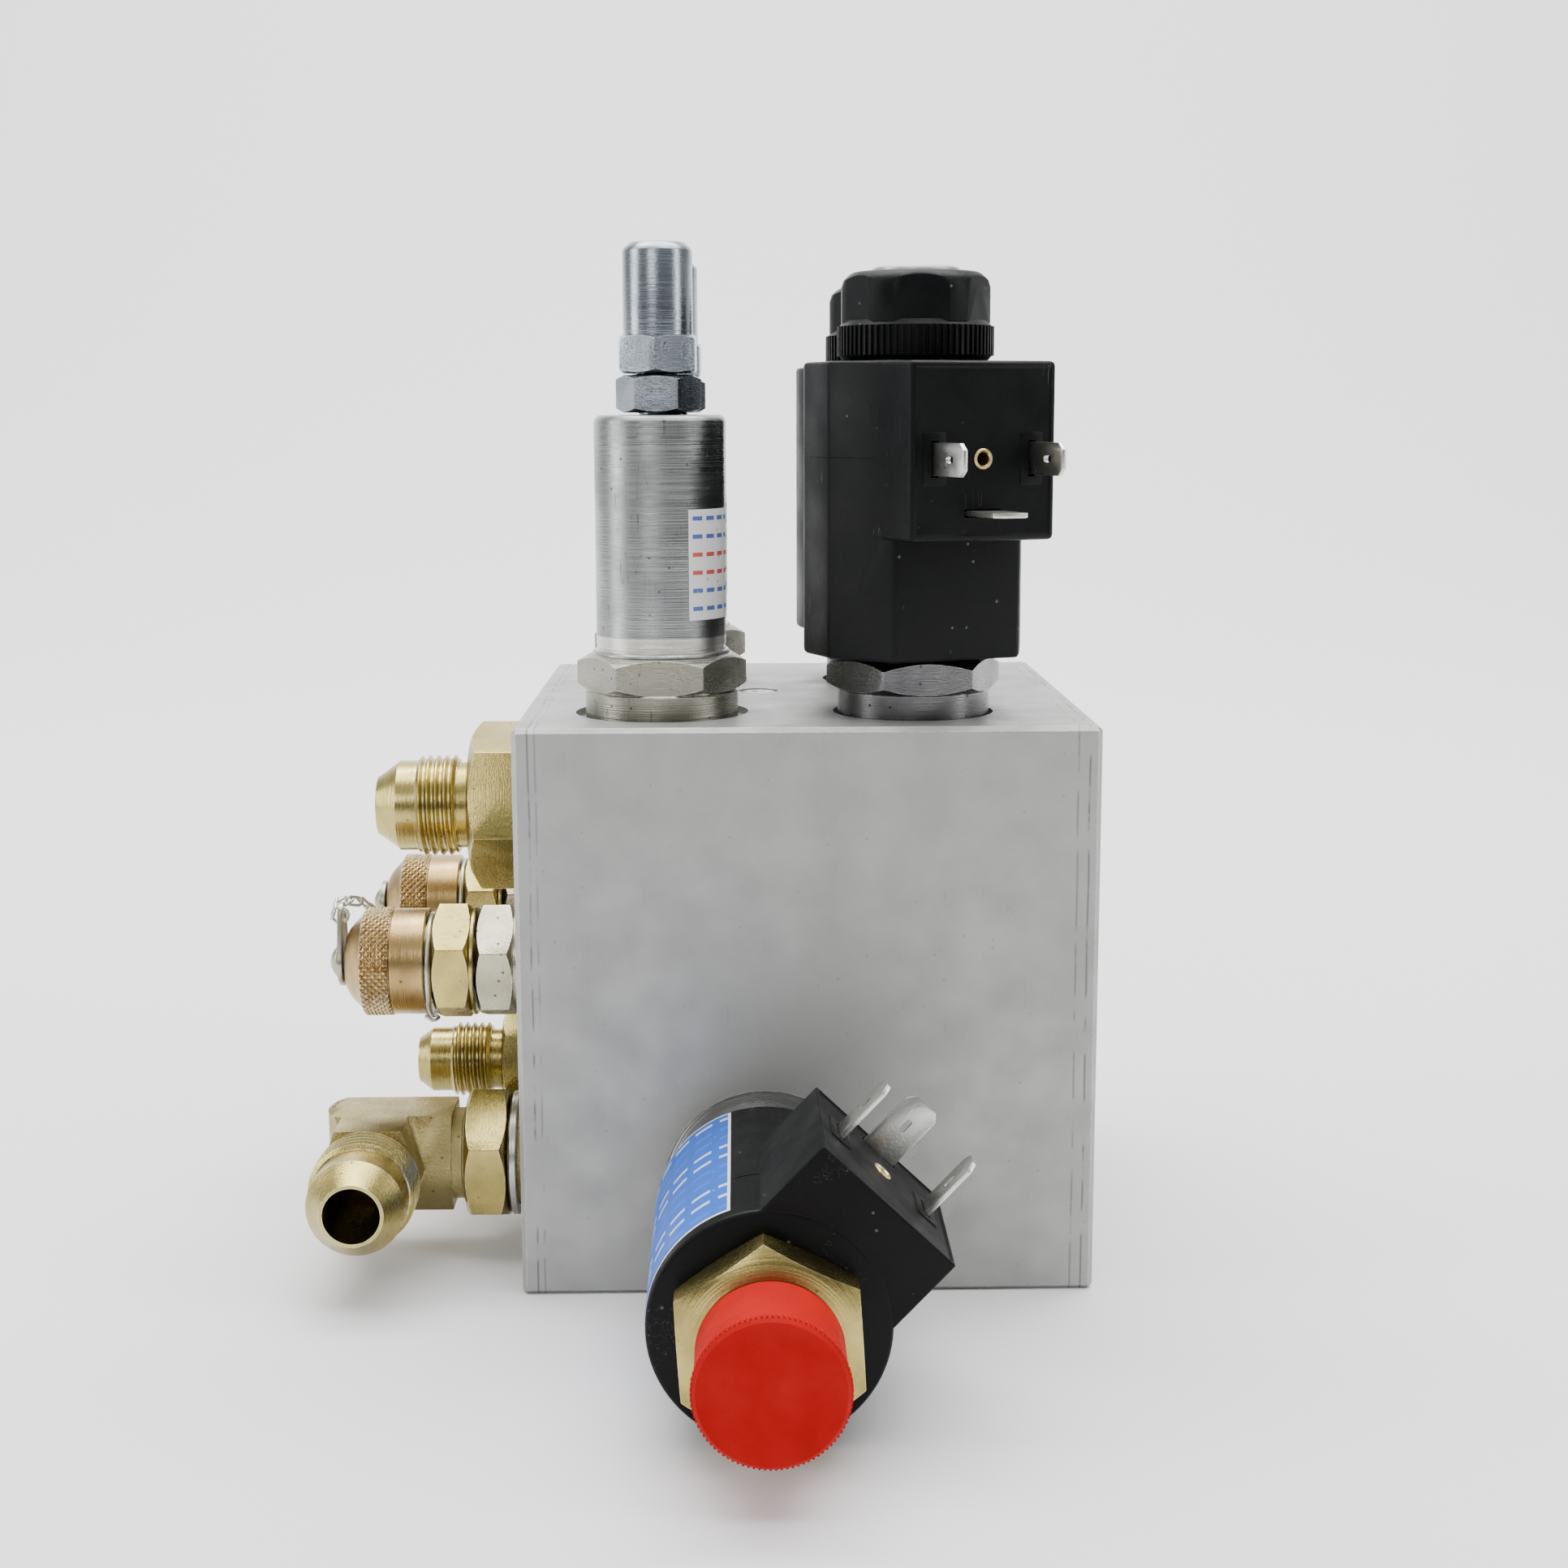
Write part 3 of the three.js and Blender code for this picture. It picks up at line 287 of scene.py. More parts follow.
def finished(piece, name, body, material, node=None, place=(0, 0, 0), direction="up",
             turn=0.0, smooth=32):
    """Sets a millimetre piece in its place in metres and hands it to its body."""
    remember_place(piece)
    shifted(piece, turn=(0, 0, turn))
    only(piece)
    piece.rotation_euler = DIRECTIONS[direction]
    piece.scale = (MM, MM, MM)
    piece.location = place
    bpy.ops.object.transform_apply(location=True, rotation=True, scale=True)
    piece.name = piece.data.name = name
    piece.data.materials.clear()
    piece.data.materials.append(material)
    bpy.ops.object.shade_smooth_by_angle(angle=math.radians(smooth))
    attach(piece, body)
    if node:
        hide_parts(*([node] if isinstance(node, str) else node))
    return piece


# ---- finishes --------------------------------------------------------------------------


def remember_place(piece):
    """Keeps each point's place about the piece's own axis, in millimetres, for its finish."""
    own = piece.data.attributes.new("own_place", "FLOAT_VECTOR", "POINT")
    flat = [c for v in piece.data.vertices for c in v.co]
    own.data.foreach_set("vector", flat)


class Wiring:
    """Adds nodes to a node tree and joins them up; numbers are set on the sockets."""

    def __init__(self, tree):
        self.tree = tree

    def add(self, kind, settings=None, **sockets):
        node = self.tree.nodes.new(kind)
        for key, value in (settings or {}).items():
            setattr(node, key, value)
        for key, value in sockets.items():
            socket = node.inputs[int(key[1:])] if key[1:].isdigit() else node.inputs[
                key.replace("_", " ")]
            if isinstance(value, bpy.types.NodeSocket):
                self.tree.links.new(value, socket)
            else:
                socket.default_value = value
        return node

    def maths(self, how, *values):
        sockets = {f"_{i}": v for i, v in enumerate(values)}
        return self.add("ShaderNodeMath", {"operation": how}, **sockets).outputs[0]

    def mask(self, value, low, high):
        """0 below low and 1 above high."""
        ranged = self.add("ShaderNodeMapRange", {"clamp": True}, Value=value, From_Min=low,
                          From_Max=high)
        return ranged.outputs["Result"]

    def mixed(self, amount, first, second):
        """First where the amount is 0, second where it is 1; both are colours."""
        mix = self.add("ShaderNodeMix", {"data_type": "RGBA"}, _0=amount, _6=first, _7=second)
        return mix.outputs[2]

    def blended(self, amount, first, second):
        mix = self.add("ShaderNodeMix", {"data_type": "FLOAT"}, _0=amount, _2=first, _3=second)
        return mix.outputs[0]

    def noise(self, place, scale, detail=2.0):
        return self.add("ShaderNodeTexNoise", Vector=place, Scale=scale, Detail=detail).outputs[0]


def effect(name, inputs, outputs):
    """An empty shared effect with named sockets."""
    tree = bpy.data.node_groups.new(name, "ShaderNodeTree")
    for title, kind, start in inputs:
        socket = tree.interface.new_socket(title, in_out="INPUT", socket_type=kind)
        if start is not None:
            socket.default_value = start
    for title, kind in outputs:
        tree.interface.new_socket(title, in_out="OUTPUT", socket_type=kind)
    wires = Wiring(tree)
    entry = tree.nodes.new("NodeGroupInput")
    leave = tree.nodes.new("NodeGroupOutput")
    return tree, wires, entry.outputs, leave.inputs


NUMBER, VECTOR = "NodeSocketFloat", "NodeSocketVector"


def make_edge_wear():
    """Worn edges: where the rounded normal leaves the face's own normal."""
    tree, w, given, result = effect(
        "edge wear", [("Place", VECTOR, None), ("Width", NUMBER, 0.0005)], [("Mask", NUMBER)])
    rounded = w.add("ShaderNodeBevel", {"samples": 6}, Radius=given["Width"]).outputs[0]
    plain = w.add("ShaderNodeNewGeometry").outputs["Normal"]
    dot = w.add("ShaderNodeVectorMath", {"operation": "DOT_PRODUCT"}, _0=rounded, _1=plain)
    edge = w.mask(w.maths("SUBTRACT", 1.0, dot.outputs["Value"]), 0.02, 0.14)
    patchy = w.mask(w.noise(given["Place"], 0.9, 4.0), 0.36, 0.6)
    tree.links.new(w.maths("MULTIPLY", edge, patchy), result["Mask"])
    return tree


def make_turning():
    """Fine lines left by turning: rings that change with radius and height only."""
    tree, w, given, result = effect(
        "turning lines", [("Place", VECTOR, None), ("Fineness", NUMBER, 3.0)],
        [("Height", NUMBER)])
    parts = w.add("ShaderNodeSeparateXYZ", _0=given["Place"]).outputs
    across = w.maths("SQRT", w.maths("ADD", w.maths("MULTIPLY", parts[0], parts[0]),
                                     w.maths("MULTIPLY", parts[1], parts[1])))
    flat = w.add("ShaderNodeCombineXYZ", _0=across, _1=parts[2], _2=0.0).outputs[0]
    tree.links.new(w.noise(flat, given["Fineness"], 3.0), result["Height"])
    return tree


def make_specks():
    """Scattered small spots, such as grit, pits or dust."""
    tree, w, given, result = effect(
        "specks", [("Place", VECTOR, None), ("Per Millimetre", NUMBER, 0.6),
                   ("Amount", NUMBER, 0.5)], [("Mask", NUMBER)])
    cells = w.add("ShaderNodeTexVoronoi", Vector=given["Place"], Scale=given["Per Millimetre"])
    near = w.mask(cells.outputs["Distance"], 0.2, 0.1)
    chance = w.add("ShaderNodeSeparateColor", _0=cells.outputs["Color"]).outputs[0]
    kept = w.maths("LESS_THAN", chance, given["Amount"])
    tree.links.new(w.maths("MULTIPLY", near, kept), result["Mask"])
    return tree


def make_scratches():
    """Long thin marks along the direction that the stretch squeezes."""
    tree, w, given, result = effect(
        "scratches", [("Place", VECTOR, None), ("Stretch", VECTOR, (1, 1, 0.05)),
                      ("Amount", NUMBER, 0.3)], [("Mask", NUMBER)])
    drawn = w.add("ShaderNodeVectorMath", {"operation": "MULTIPLY"}, _0=given["Place"],
                  _1=given["Stretch"]).outputs[0]
    line = w.maths("ABSOLUTE", w.maths("SUBTRACT", w.noise(drawn, 0.8, 1.0), 0.5))
    thin = w.mask(line, 0.007, 0.002)
    where = w.maths("LESS_THAN", w.noise(given["Place"], 0.12, 1.0),
                    w.maths("ADD", 0.3, w.maths("MULTIPLY", given["Amount"], 0.4)))
    tree.links.new(w.maths("MULTIPLY", thin, where), result["Mask"])
    return tree


EDGE_WEAR, TURNING, SPECKS, SCRATCHES = (
    make_edge_wear(), make_turning(), make_specks(), make_scratches())


def surface(name, light, dark, metallic, roughness, edge, edge_colour, speck, speck_colour,
            lines=0.0, grain=0.0, scratch=0.0, own=True, patch=0.12, sheen=0.5, extra=None):
    """A finish from two shades in soft patches, with worn edges, specks and tool marks."""
    material = bpy.data.materials.new(name)
    material.use_nodes = True
    tree = material.node_tree
    w = Wiring(tree)
    shader = tree.nodes["Principled BSDF"]
    if own:
        place = w.add("ShaderNodeAttribute", {"attribute_name": "own_place"}).outputs["Vector"]
    else:
        place = w.add("ShaderNodeVectorMath", {"operation": "SCALE"},
                      _0=w.add("ShaderNodeTexCoord").outputs["Object"], Scale=1000.0).outputs[0]

    def use(group, out, **sockets):
        return w.add("ShaderNodeGroup", {"node_tree": group}, Place=place, **sockets).outputs[out]

    patches = w.mask(w.noise(place, patch, 4.0), 0.35, 0.65)
    colour = w.mixed(patches, (*dark, 1), (*light, 1))
    rough = w.blended(patches, min(1.0, roughness * 1.2), roughness * 0.85)
    if extra:
        colour = extra(w, place, colour)
    if scratch:
        marks = w.maths("MULTIPLY", use(SCRATCHES, "Mask", Amount=scratch), 0.6)
        colour = w.mixed(marks, colour, (*speck_colour, 1))
    if speck:
        spots = w.maths("MULTIPLY", use(SPECKS, "Mask", Amount=speck), 0.75)
        colour = w.mixed(spots, colour, (*speck_colour, 1))
        rough = w.blended(spots, rough, 0.75)
    if edge:
        worn = w.maths("MULTIPLY", use(EDGE_WEAR, "Mask", Width=0.0004), edge)
        colour = w.mixed(worn, colour, (*edge_colour, 1))
        rough = w.blended(worn, rough, roughness * 0.7)
    height = w.maths("MULTIPLY", w.noise(place, 2.2, 5.0), grain)
    if lines:
        ring = use(TURNING, "Height", Fineness=4.5)
        height = w.maths("ADD", height, w.maths("MULTIPLY", ring, lines))
        rough = w.maths("ADD", rough, w.maths("MULTIPLY", w.maths("SUBTRACT", ring, 0.5), 0.25))
    bump = w.add("ShaderNodeBump", Strength=0.6, Distance=0.0002, Height=height).outputs[0]
    tree.links.new(bump, shader.inputs["Normal"])
    tree.links.new(colour, shader.inputs["Base Color"])
    tree.links.new(rough, shader.inputs["Roughness"])
    shader.inputs["Metallic"].default_value = metallic
    shader.inputs["Specular IOR Level"].default_value = sheen
    return material


def height_band(low, high, shade):
    """Shade between two heights along the piece's own axis."""
    def paint(w, place, colour):
        z = w.add("ShaderNodeSeparateXYZ", _0=place).outputs[2]
        inside = w.maths("MULTIPLY", w.mask(z, low - 0.05, low + 0.05),
                         w.mask(z, high + 0.05, high - 0.05))
        return w.mixed(inside, colour, (*shade, 1))
    return paint


def barrel_paint(w, place, colour):
    """Olive hexagon below a barrel with a bright turned band at its foot."""
    colour = height_band(-5, 10.6, (0.3, 0.295, 0.24))(w, place, colour)
    return height_band(11.2, 13.8, (0.6, 0.59, 0.54))(w, place, colour)


def label_marks(base, first, second, spacing):
    """Printed label: rows of short dashes."""
    def paint(w, place, _colour):
        p = w.add("ShaderNodeSeparateXYZ", _0=place).outputs
        turn = w.maths("MULTIPLY", w.maths("ARCTAN2", p[1], p[0]), 12.0)
        row = w.maths("FRACT", w.maths("DIVIDE", p[2], spacing))
        dash = w.maths("FRACT", w.maths("DIVIDE", turn, 3.1))
        line = w.maths("MULTIPLY", w.maths("LESS_THAN", row, 0.24),
                       w.maths("LESS_THAN", dash, 0.7))
        long = w.maths("FRACT", w.maths("DIVIDE", p[2], spacing * 4))
        shade = w.mixed(w.maths("LESS_THAN", long, 0.5), (*first, 1), (*second, 1))
        return w.mixed(line, (*base, 1), shade)
    return paint


def block_paint(w, place, colour):
    """Dark guide marks that run parallel to the upright edges, and faint stains."""
    p = w.add("ShaderNodeSeparateXYZ", _0=place).outputs
    wander = w.maths("MULTIPLY", w.maths("SUBTRACT", w.noise(place, 0.05, 2.0), 0.5), 0.6)
    x = w.maths("ADD", p[0], wander)
    for at, strength in ((-47.2, 0.8), (-46.0, 0.5), (47.9, 0.8), (46.0, 0.6)):
        near = w.mask(w.maths("ABSOLUTE", w.maths("SUBTRACT", x, at)), 0.24, 0.08)
        broken = w.mask(w.noise(place, 0.16, 3.0), 0.42, 0.52)
        line = w.maths("MULTIPLY", w.maths("MULTIPLY", near, broken), strength)
        colour = w.mixed(line, colour, (0.12, 0.12, 0.12, 1))
    drawn = w.add("ShaderNodeVectorMath", {"operation": "MULTIPLY"}, _0=place,
                  _1=(1.0, 1.0, 0.12)).outputs[0]
    stain = w.maths("MULTIPLY", w.mask(w.noise(drawn, 0.11, 4.0), 0.52, 0.72), 0.22)
    return w.mixed(stain, colour, (0.35, 0.35, 0.34, 1))


DARK, GREY, WHITE = (0.03, 0.03, 0.03), (0.3, 0.3, 0.29), (0.85, 0.85, 0.83)
FINISH = {
    "block": surface("milled aluminium", (0.37, 0.37, 0.36), (0.34, 0.34, 0.33), 0.5, 0.45, 0.9,
                     (0.85, 0.85, 0.83), 0.06, GREY, 0, 0.2, 0.3, extra=block_paint),
    "spot": surface("spot face", (0.78, 0.78, 0.76), (0.66, 0.66, 0.64), 1, 0.3, 0, WHITE, 0.1,
                    GREY, 0.8),
    "barrel": surface("turned grey zinc", (0.34, 0.35, 0.35), (0.24, 0.25, 0.25), 1, 0.3, 0.8,
                      WHITE, 0.2, DARK, 0.9, 0.2, 0.4, extra=barrel_paint),
    "steel": surface("turned steel", (0.6, 0.6, 0.58), (0.5, 0.5, 0.48), 1, 0.32, 0.6, WHITE,
                     0.15, DARK, 0.8, 0.1, 0.2),
    "blue_zinc": surface("blue zinc", (0.36, 0.4, 0.44), (0.24, 0.27, 0.3), 1, 0.22, 0.8, WHITE,
                         0.2, DARK, 0.5, 0.2, 0.3),
    "pale_zinc": surface("pale zinc", (0.46, 0.44, 0.32), (0.33, 0.31, 0.22), 1, 0.3, 0.8, WHITE,
                         0.5, (0.1, 0.1, 0.09), 0.4, 0.3, 0.2),
    "dark_zinc": surface("oiled dark zinc", (0.2, 0.2, 0.2), (0.12, 0.12, 0.125), 1, 0.3, 0.9,
                         (0.55, 0.55, 0.54), 0.2, DARK, 0.5, 0.2, 0.2),
    "yellow_zinc": surface("yellow zinc", (0.5, 0.4, 0.14), (0.34, 0.28, 0.09), 1, 0.25, 0.7,
                           (0.92, 0.86, 0.62), 0.2, (0.16, 0.12, 0.04), 0.5, 0.2, 0.3),
    "forged_zinc": surface("forged yellow zinc", (0.5, 0.41, 0.19), (0.34, 0.28, 0.11), 1, 0.4,
                           0.5, (0.9, 0.85, 0.6), 0.25, (0.16, 0.12, 0.04), 0, 2.2, 0),
    "cap_brass": surface("cap brass", (0.46, 0.31, 0.13), (0.3, 0.2, 0.08), 1, 0.3, 0.8,
                         (0.88, 0.76, 0.5), 0.2, (0.1, 0.07, 0.03), 0.8, 0.2, 0.2),
    "brass": surface("brass", (0.78, 0.6, 0.28), (0.6, 0.46, 0.2), 1, 0.3, 0.5,
                     (0.9, 0.8, 0.5), 0.1, DARK, 0.6),
    "contact": surface("tinned contact", (0.66, 0.66, 0.62), (0.5, 0.5, 0.47), 1, 0.3, 0.8, WHITE,
                       0.15, DARK, 0, 0.3),
    "black": surface("black plastic", (0.0015, 0.0019, 0.0022), (0.0025, 0.003, 0.0034), 0, 0.4,
                     0.2, (0.035, 0.037, 0.04), 0.05, (0.1, 0.1, 0.1), 0, 0.3, 0.05, sheen=0.12),
    "grey_face": surface("moulded face", (0.009, 0.0095, 0.011), (0.006, 0.0065, 0.0075), 0, 0.55,
                         0.2, (0.12, 0.12, 0.12), 0.3, (0.2, 0.2, 0.2), 0, 0.8),
    "red": surface("red plastic", (0.4, 0.001, 0.001), (0.33, 0.001, 0.001), 0, 0.6, 0.15,
                   (0.45, 0.01, 0.008), 0.1, (0.3, 0.002, 0.002), 0, 0.4, sheen=0.1),
    "white_label": surface("printed white label", (0.8, 0.8, 0.79), (0.72, 0.72, 0.71), 0, 0.45,
                           0, WHITE, 0.2, GREY, extra=label_marks(
                               (0.78, 0.78, 0.77), (0.08, 0.14, 0.42), (0.6, 0.08, 0.07), 3.1)),
    "blue_label": surface("printed blue label", (0.01, 0.1, 0.5), (0.01, 0.08, 0.42), 0, 0.4, 0,
                          WHITE, 0.1, GREY, extra=label_marks(
                              (0.008, 0.1, 0.5), (0.5, 0.58, 0.72), (0.02, 0.14, 0.6), 4.6)),
    "label_edge": surface("label border", (0.75, 0.77, 0.8), (0.7, 0.72, 0.75), 0, 0.45, 0,
                          WHITE, 0.1, GREY),
    "inner_steel": surface("inner steel", (0.55, 0.55, 0.53), (0.46, 0.46, 0.44), 1, 0.35, 0,
                           WHITE, 0.1, DARK, own=False),
    "spring": surface("spring wire", (0.5, 0.5, 0.5), (0.4, 0.4, 0.4), 1, 0.3, 0, WHITE, 0.1,
                      DARK, own=False),
}

# ---- valve block -----------------------------------------------------------------------

BLOCK_LOW, BLOCK_HIGH = (tuple(round(c, 6) for c in corner)
                         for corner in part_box("manifold_block"))


def seat(node, axis, face):
    """Where the axis of a round node meets a face of the block, in metres."""
    low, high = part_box(node)
    place = [round((a + b) / 2, 6) for a, b in zip(low, high)]
    place[axis] = face[axis]
    return tuple(place)


RELIEF_AT = {end: seat(f"relief_body_{end}", 2, BLOCK_HIGH) for end in ENDS}
SOLENOID_AT = {end: seat(f"solenoid_body_{end}", 2, BLOCK_HIGH) for end in ENDS}
TEST_AT = {end: seat(f"test_adapter_{end}", 0, BLOCK_LOW) for end in ENDS}
LOWER_AT = seat("solenoid_body_lower", 1, BLOCK_LOW)
PRESSURE_AT = seat("pressure_port_fitting", 0, BLOCK_LOW)
DRAIN_AT = seat("drain_port_fitting", 0, BLOCK_LOW)
ELBOW_AT = seat("elbow_lock_nut", 0, BLOCK_LOW)
TOP_PLUG_AT = seat("top_gallery_plug", 2, BLOCK_HIGH)
SIDE_PLUGS_AT = [seat(f"side_gallery_plug_{i}", 0, BLOCK_HIGH) for i in (1, 2)]


# radii and heights in millimetres
EDGE_CHAMFER = 0.8
RELIEF_SPOT, SOLENOID_SPOT, LOWER_SPOT = 15.35, 14.25, 17.6
DRILLING = 2.5
JOINING_LEVEL = 53  # height of the drillings that join two cavities


def gallery(reach, seat_depth, seat_radius):
    """Long drilling with a wider seat for its plug, opening at height 0."""
    return turned([(0, -reach), (DRILLING, -reach), (DRILLING, -seat_depth),
                   (seat_radius, -seat_depth), (seat_radius, 1), (0, 1)])


def cavity(spot):
    """Stepped cavity for a cartridge under its spot face."""
    return turned([(0, -50), (3.5, -50), (3.5, -42), (8, -42), (8, -29), (9.6, -29), (9.6, -15),
                   (11.3, -15), (11.3, -1.5), (spot - 0.15, -1.5), (spot, -1.35), (spot, 1),
                   (0, 1)], 96)


def in_mm(place):
    return tuple(round(c / MM, 3) for c in place)


def make_block():
    block = soften(slab(in_mm(BLOCK_LOW), in_mm(BLOCK_HIGH)), EDGE_CHAMFER, 1, 40)
    for spot, sites in ((RELIEF_SPOT, RELIEF_AT), (SOLENOID_SPOT, SOLENOID_AT)):
        for site in sites.values():
            cut(block, shifted(cavity(spot), in_mm(site)))
    cut(block, shifted(cavity(LOWER_SPOT), in_mm(LOWER_AT), (90, 0, 0)))
    for site, radius, depth, reach in (
            (PRESSURE_AT, 9.8, 15, 44), (ELBOW_AT, 9.8, 15, 32), (DRAIN_AT, 7.2, 13, 44),
            (TEST_AT["front"], 7.2, 13, 24), (TEST_AT["rear"], 7.2, 13, 24)):
        port = turned([(0, -reach), (DRILLING, -reach), (DRILLING, -depth), (radius, -depth),
                       (radius, -0.6), (radius + 0.6, 0), (radius + 0.6, 1), (0, 1)])
        cut(block, shifted(port, in_mm(site), (0, -90, 0)))
    cut(block, shifted(gallery(84, 8, 3.85), in_mm(TOP_PLUG_AT)))
    for site in SIDE_PLUGS_AT:
        cut(block, shifted(gallery(60, 9.5, 6.1), in_mm(site), (0, 90, 0)))
    for sites in (RELIEF_AT, SOLENOID_AT):
        (x, y, _), (_, far, _) = in_mm(sites["front"]), in_mm(sites["rear"])
        cut(block, shifted(rod(DRILLING, 0, far - y, 24), (x, y, JOINING_LEVEL), (-90, 0, 0)))
    finished(block, "milled_block", "root", FINISH["block"], "manifold_block",
             smooth=20)
    # the bright turned floor of the lower valve's spot face
    ring = turned([(14.3, -1.49), (17.5, -1.49), (17.5, -1.42), (14.3, -1.42)], 96)
    finished(ring, "lower_spot_face", "root", FINISH["spot"], None, LOWER_AT,
             "front")


def make_gallery_plugs():
    disc = turned([(0, -7), (3.55, -7), (3.55, -0.6), (3.2, -0.3), (2.85, -0.2), (1.2, -0.2),
                   (0.6, -1), (0, -1)], 48)
    finished(disc, "top_plug", "root", FINISH["steel"], "top_gallery_plug",
             TOP_PLUG_AT)
    for i, site in enumerate(SIDE_PLUGS_AT, 1):
        plug = turned([(0, -8), (5.8, -8), (5.8, -1), (5.5, -0.6), (5.2, -0.5), (0, -0.5)])
        socket = soften(plate(polygon(2.887, 6), -4.5, 1), 0.1)
        finished(cut(plug, socket), f"side_plug_{i}", "root", FINISH["steel"],
                 f"side_gallery_plug_{i}", site, "right")


# ---- pressure relief cartridges --------------------------------------------------------


def cartridge_nose(tip, collar, top):
    return turned([(0, tip), (6.8, tip), (7.6, tip + 1), (7.6, -28.6), (9.25, -27.8),
                   (9.25, -14.6), (11, -13.8), (11, -1.2), (collar, -1.2), (collar, top - 0.3),
                   (collar - 0.3, top), (0, top)], 96)


def curved_label(radius, low, high, start, end, thickness=0.07):
    """Thin printed label wrapped round a cylinder between two angles."""
    label = new_line([(radius, 0, low), (radius + thickness, 0, low),
                      (radius + thickness, 0, high), (radius, 0, high)])
    bpy.ops.mesh.edge_face_add()
    bpy.ops.transform.rotate(value=-math.radians(start), orient_axis="Z",
                             center_override=(0, 0, 0))
    bpy.ops.mesh.select_all(action="SELECT")
    bpy.ops.mesh.spin(steps=40, angle=-math.radians(end - start), center=(0, 0, 0),
                      axis=(0, 0, 1))
    bpy.ops.mesh.select_all(action="SELECT")
    bpy.ops.mesh.remove_doubles(threshold=WELD)
    bpy.ops.mesh.normals_make_consistent(inside=False)
    bpy.ops.object.mode_set(mode="OBJECT")
    return label


def make_relief():
    body = cartridge_nose(-40, 13.5, 4.2)
    added(body, hexagon(26, 3.7, 10.6, 0, True, True))
    barrel = [(0, 9.6), (12.1, 9.6), (12.1, 10.9), (11.8, 11.2), (11.4, 11.3), (11.4, 11.6),
              (11.2, 11.7), (11.2, 12.1), (11.4, 12.2), (11.4, 50.7), (11.15, 51.4), (10.6, 51.9),
              (10.2, 52), (0, 52)]
    added(body, turned(barrel, 96))
    cut(body, turned([(0, -41), (3.4, -41), (3.4, -34), (6, -34), (6, 40), (4.3, 41.5),
                      (4.3, 53), (0, 53)], 48))
    cut(body, shifted(rod(1.6, -12, 12, 24), (0, 0, -24), (0, 90, 0)))
    label = curved_label(11.41, 17, 36, -63, 50)

    screw = turned([(0, 24.3), (2.4, 24.3), (3.4, 25.5), (3.4, 74.2), (2.8, 74.8), (0, 74.8)], 48)
    added(screw, thread_ridge(4, 3.4, 1.25, 44, 74.7))
    cut(screw, plate(polygon(2.31, 6), 70.8, 76))
    lock = hexagon(13, 52.4, 58.8, 0, True, True, 0.1)
    cut(lock, rod(4.3, 50, 60))
    cap = hexagon(13, 59.1, 65.7, 30, True, True, 0.1)
    added(cap, turned([(0, 65), (6.05, 65), (6.05, 79.7), (5.85, 80.2), (4.75, 81.2), (4.4, 81.3),
                       (0, 81.3)], 72))
    cut(cap, turned([(0, 58), (4.9, 58), (4.3, 60), (4.3, 78.3), (0, 78.3)], 48))
    for end in ENDS:
        at = RELIEF_AT[end]
        finished(copied(body), f"relief_barrel_{end}", "root", FINISH["barrel"],
                 f"relief_body_{end}", at)
        finished(copied(label), f"relief_label_{end}", "root", FINISH["white_label"], None,
                 at)
        finished(copied(screw), f"adjust_screw_{end}", f"relief_screw_{end}",
                 FINISH["blue_zinc"], f"relief_adjust_screw_{end}", at, turn=-2)
        finished(copied(lock), f"lock_nut_{end}", "root", FINISH["blue_zinc"],
                 f"relief_lock_nut_{end}", at, turn=-2)
        finished(copied(cap), f"cap_nut_{end}", f"relief_cap_{end}", FINISH["blue_zinc"],
                 f"relief_cap_nut_{end}", at, turn=-2)
    spare(body, label, screw, lock, cap)


# ---- solenoid cartridges ---------------------------------------------------------------

COIL_BOTTOM, COIL_TOP = 10.5, 60.9
CONTACT_LEVEL = 44.75
CONTACT_OFFSET = 9  # of each contact from the middle of the connector
EARTH_DROP = 8.9  # of the earth blade below the contacts
BLADE_REACH = 10.6
CONNECTOR = (31.2, 60.7)  # lower and upper end of the connector block
CONNECTOR_HALF = 13.5


def make_solenoid_body(collar, top, flats, hex_top, turn):
    body = cartridge_nose(-38, collar, top)
    added(body, hexagon(flats, top - 0.5, hex_top, turn, True, True))
    cut(body, turned([(0, -39), (4.4, -39), (4.4, 0.7), (6.5, 0.7), (6.5, hex_top + 1),
                      (0, hex_top + 1)], 48))
    for z in (-20, -33):
        cut(body, shifted(rod(1.6, -12, 12, 24), (0, 0, z), (0, 90, 0)))
    return body


def make_tube(hex_top, top):
    return turned([(5.4, 1), (6.2, 1), (6.2, hex_top + 0.3), (7.7, hex_top + 0.3),
                   (7.7, top - 0.8), (7.5, top - 0.3), (6.9, top), (5.2, top), (5, top - 0.25),
                   (4.7, top - 0.25), (4.5, top), (2.3, top), (2, top - 0.3), (2, 48.5),
                   (5.4, 48.5)], 72)


def coil_outline(radius, flat):
    """Section of a coil: round where it has no flats, else with facets towards +X."""
    if flat >= radius:
        return polygon(radius, 96)
    slant, pad = math.radians(60), 16.8
    pad_half = (flat - pad * math.cos(slant)) / math.sin(slant)
    shoulder = (flat - flat * math.sin(slant)) / math.cos(slant)
    back = math.acos(-math.sqrt(max(0, radius ** 2 - flat ** 2)) / radius)
    arc = [back + (2 * math.pi - 2 * back) * i / 48 for i in range(49)]
    points = [(pad, -pad_half), (pad, pad_half), (shoulder, flat)]
    points += [(radius * math.cos(a), radius * math.sin(a)) for a in arc]
    points.append((shoulder, -flat))
    return points


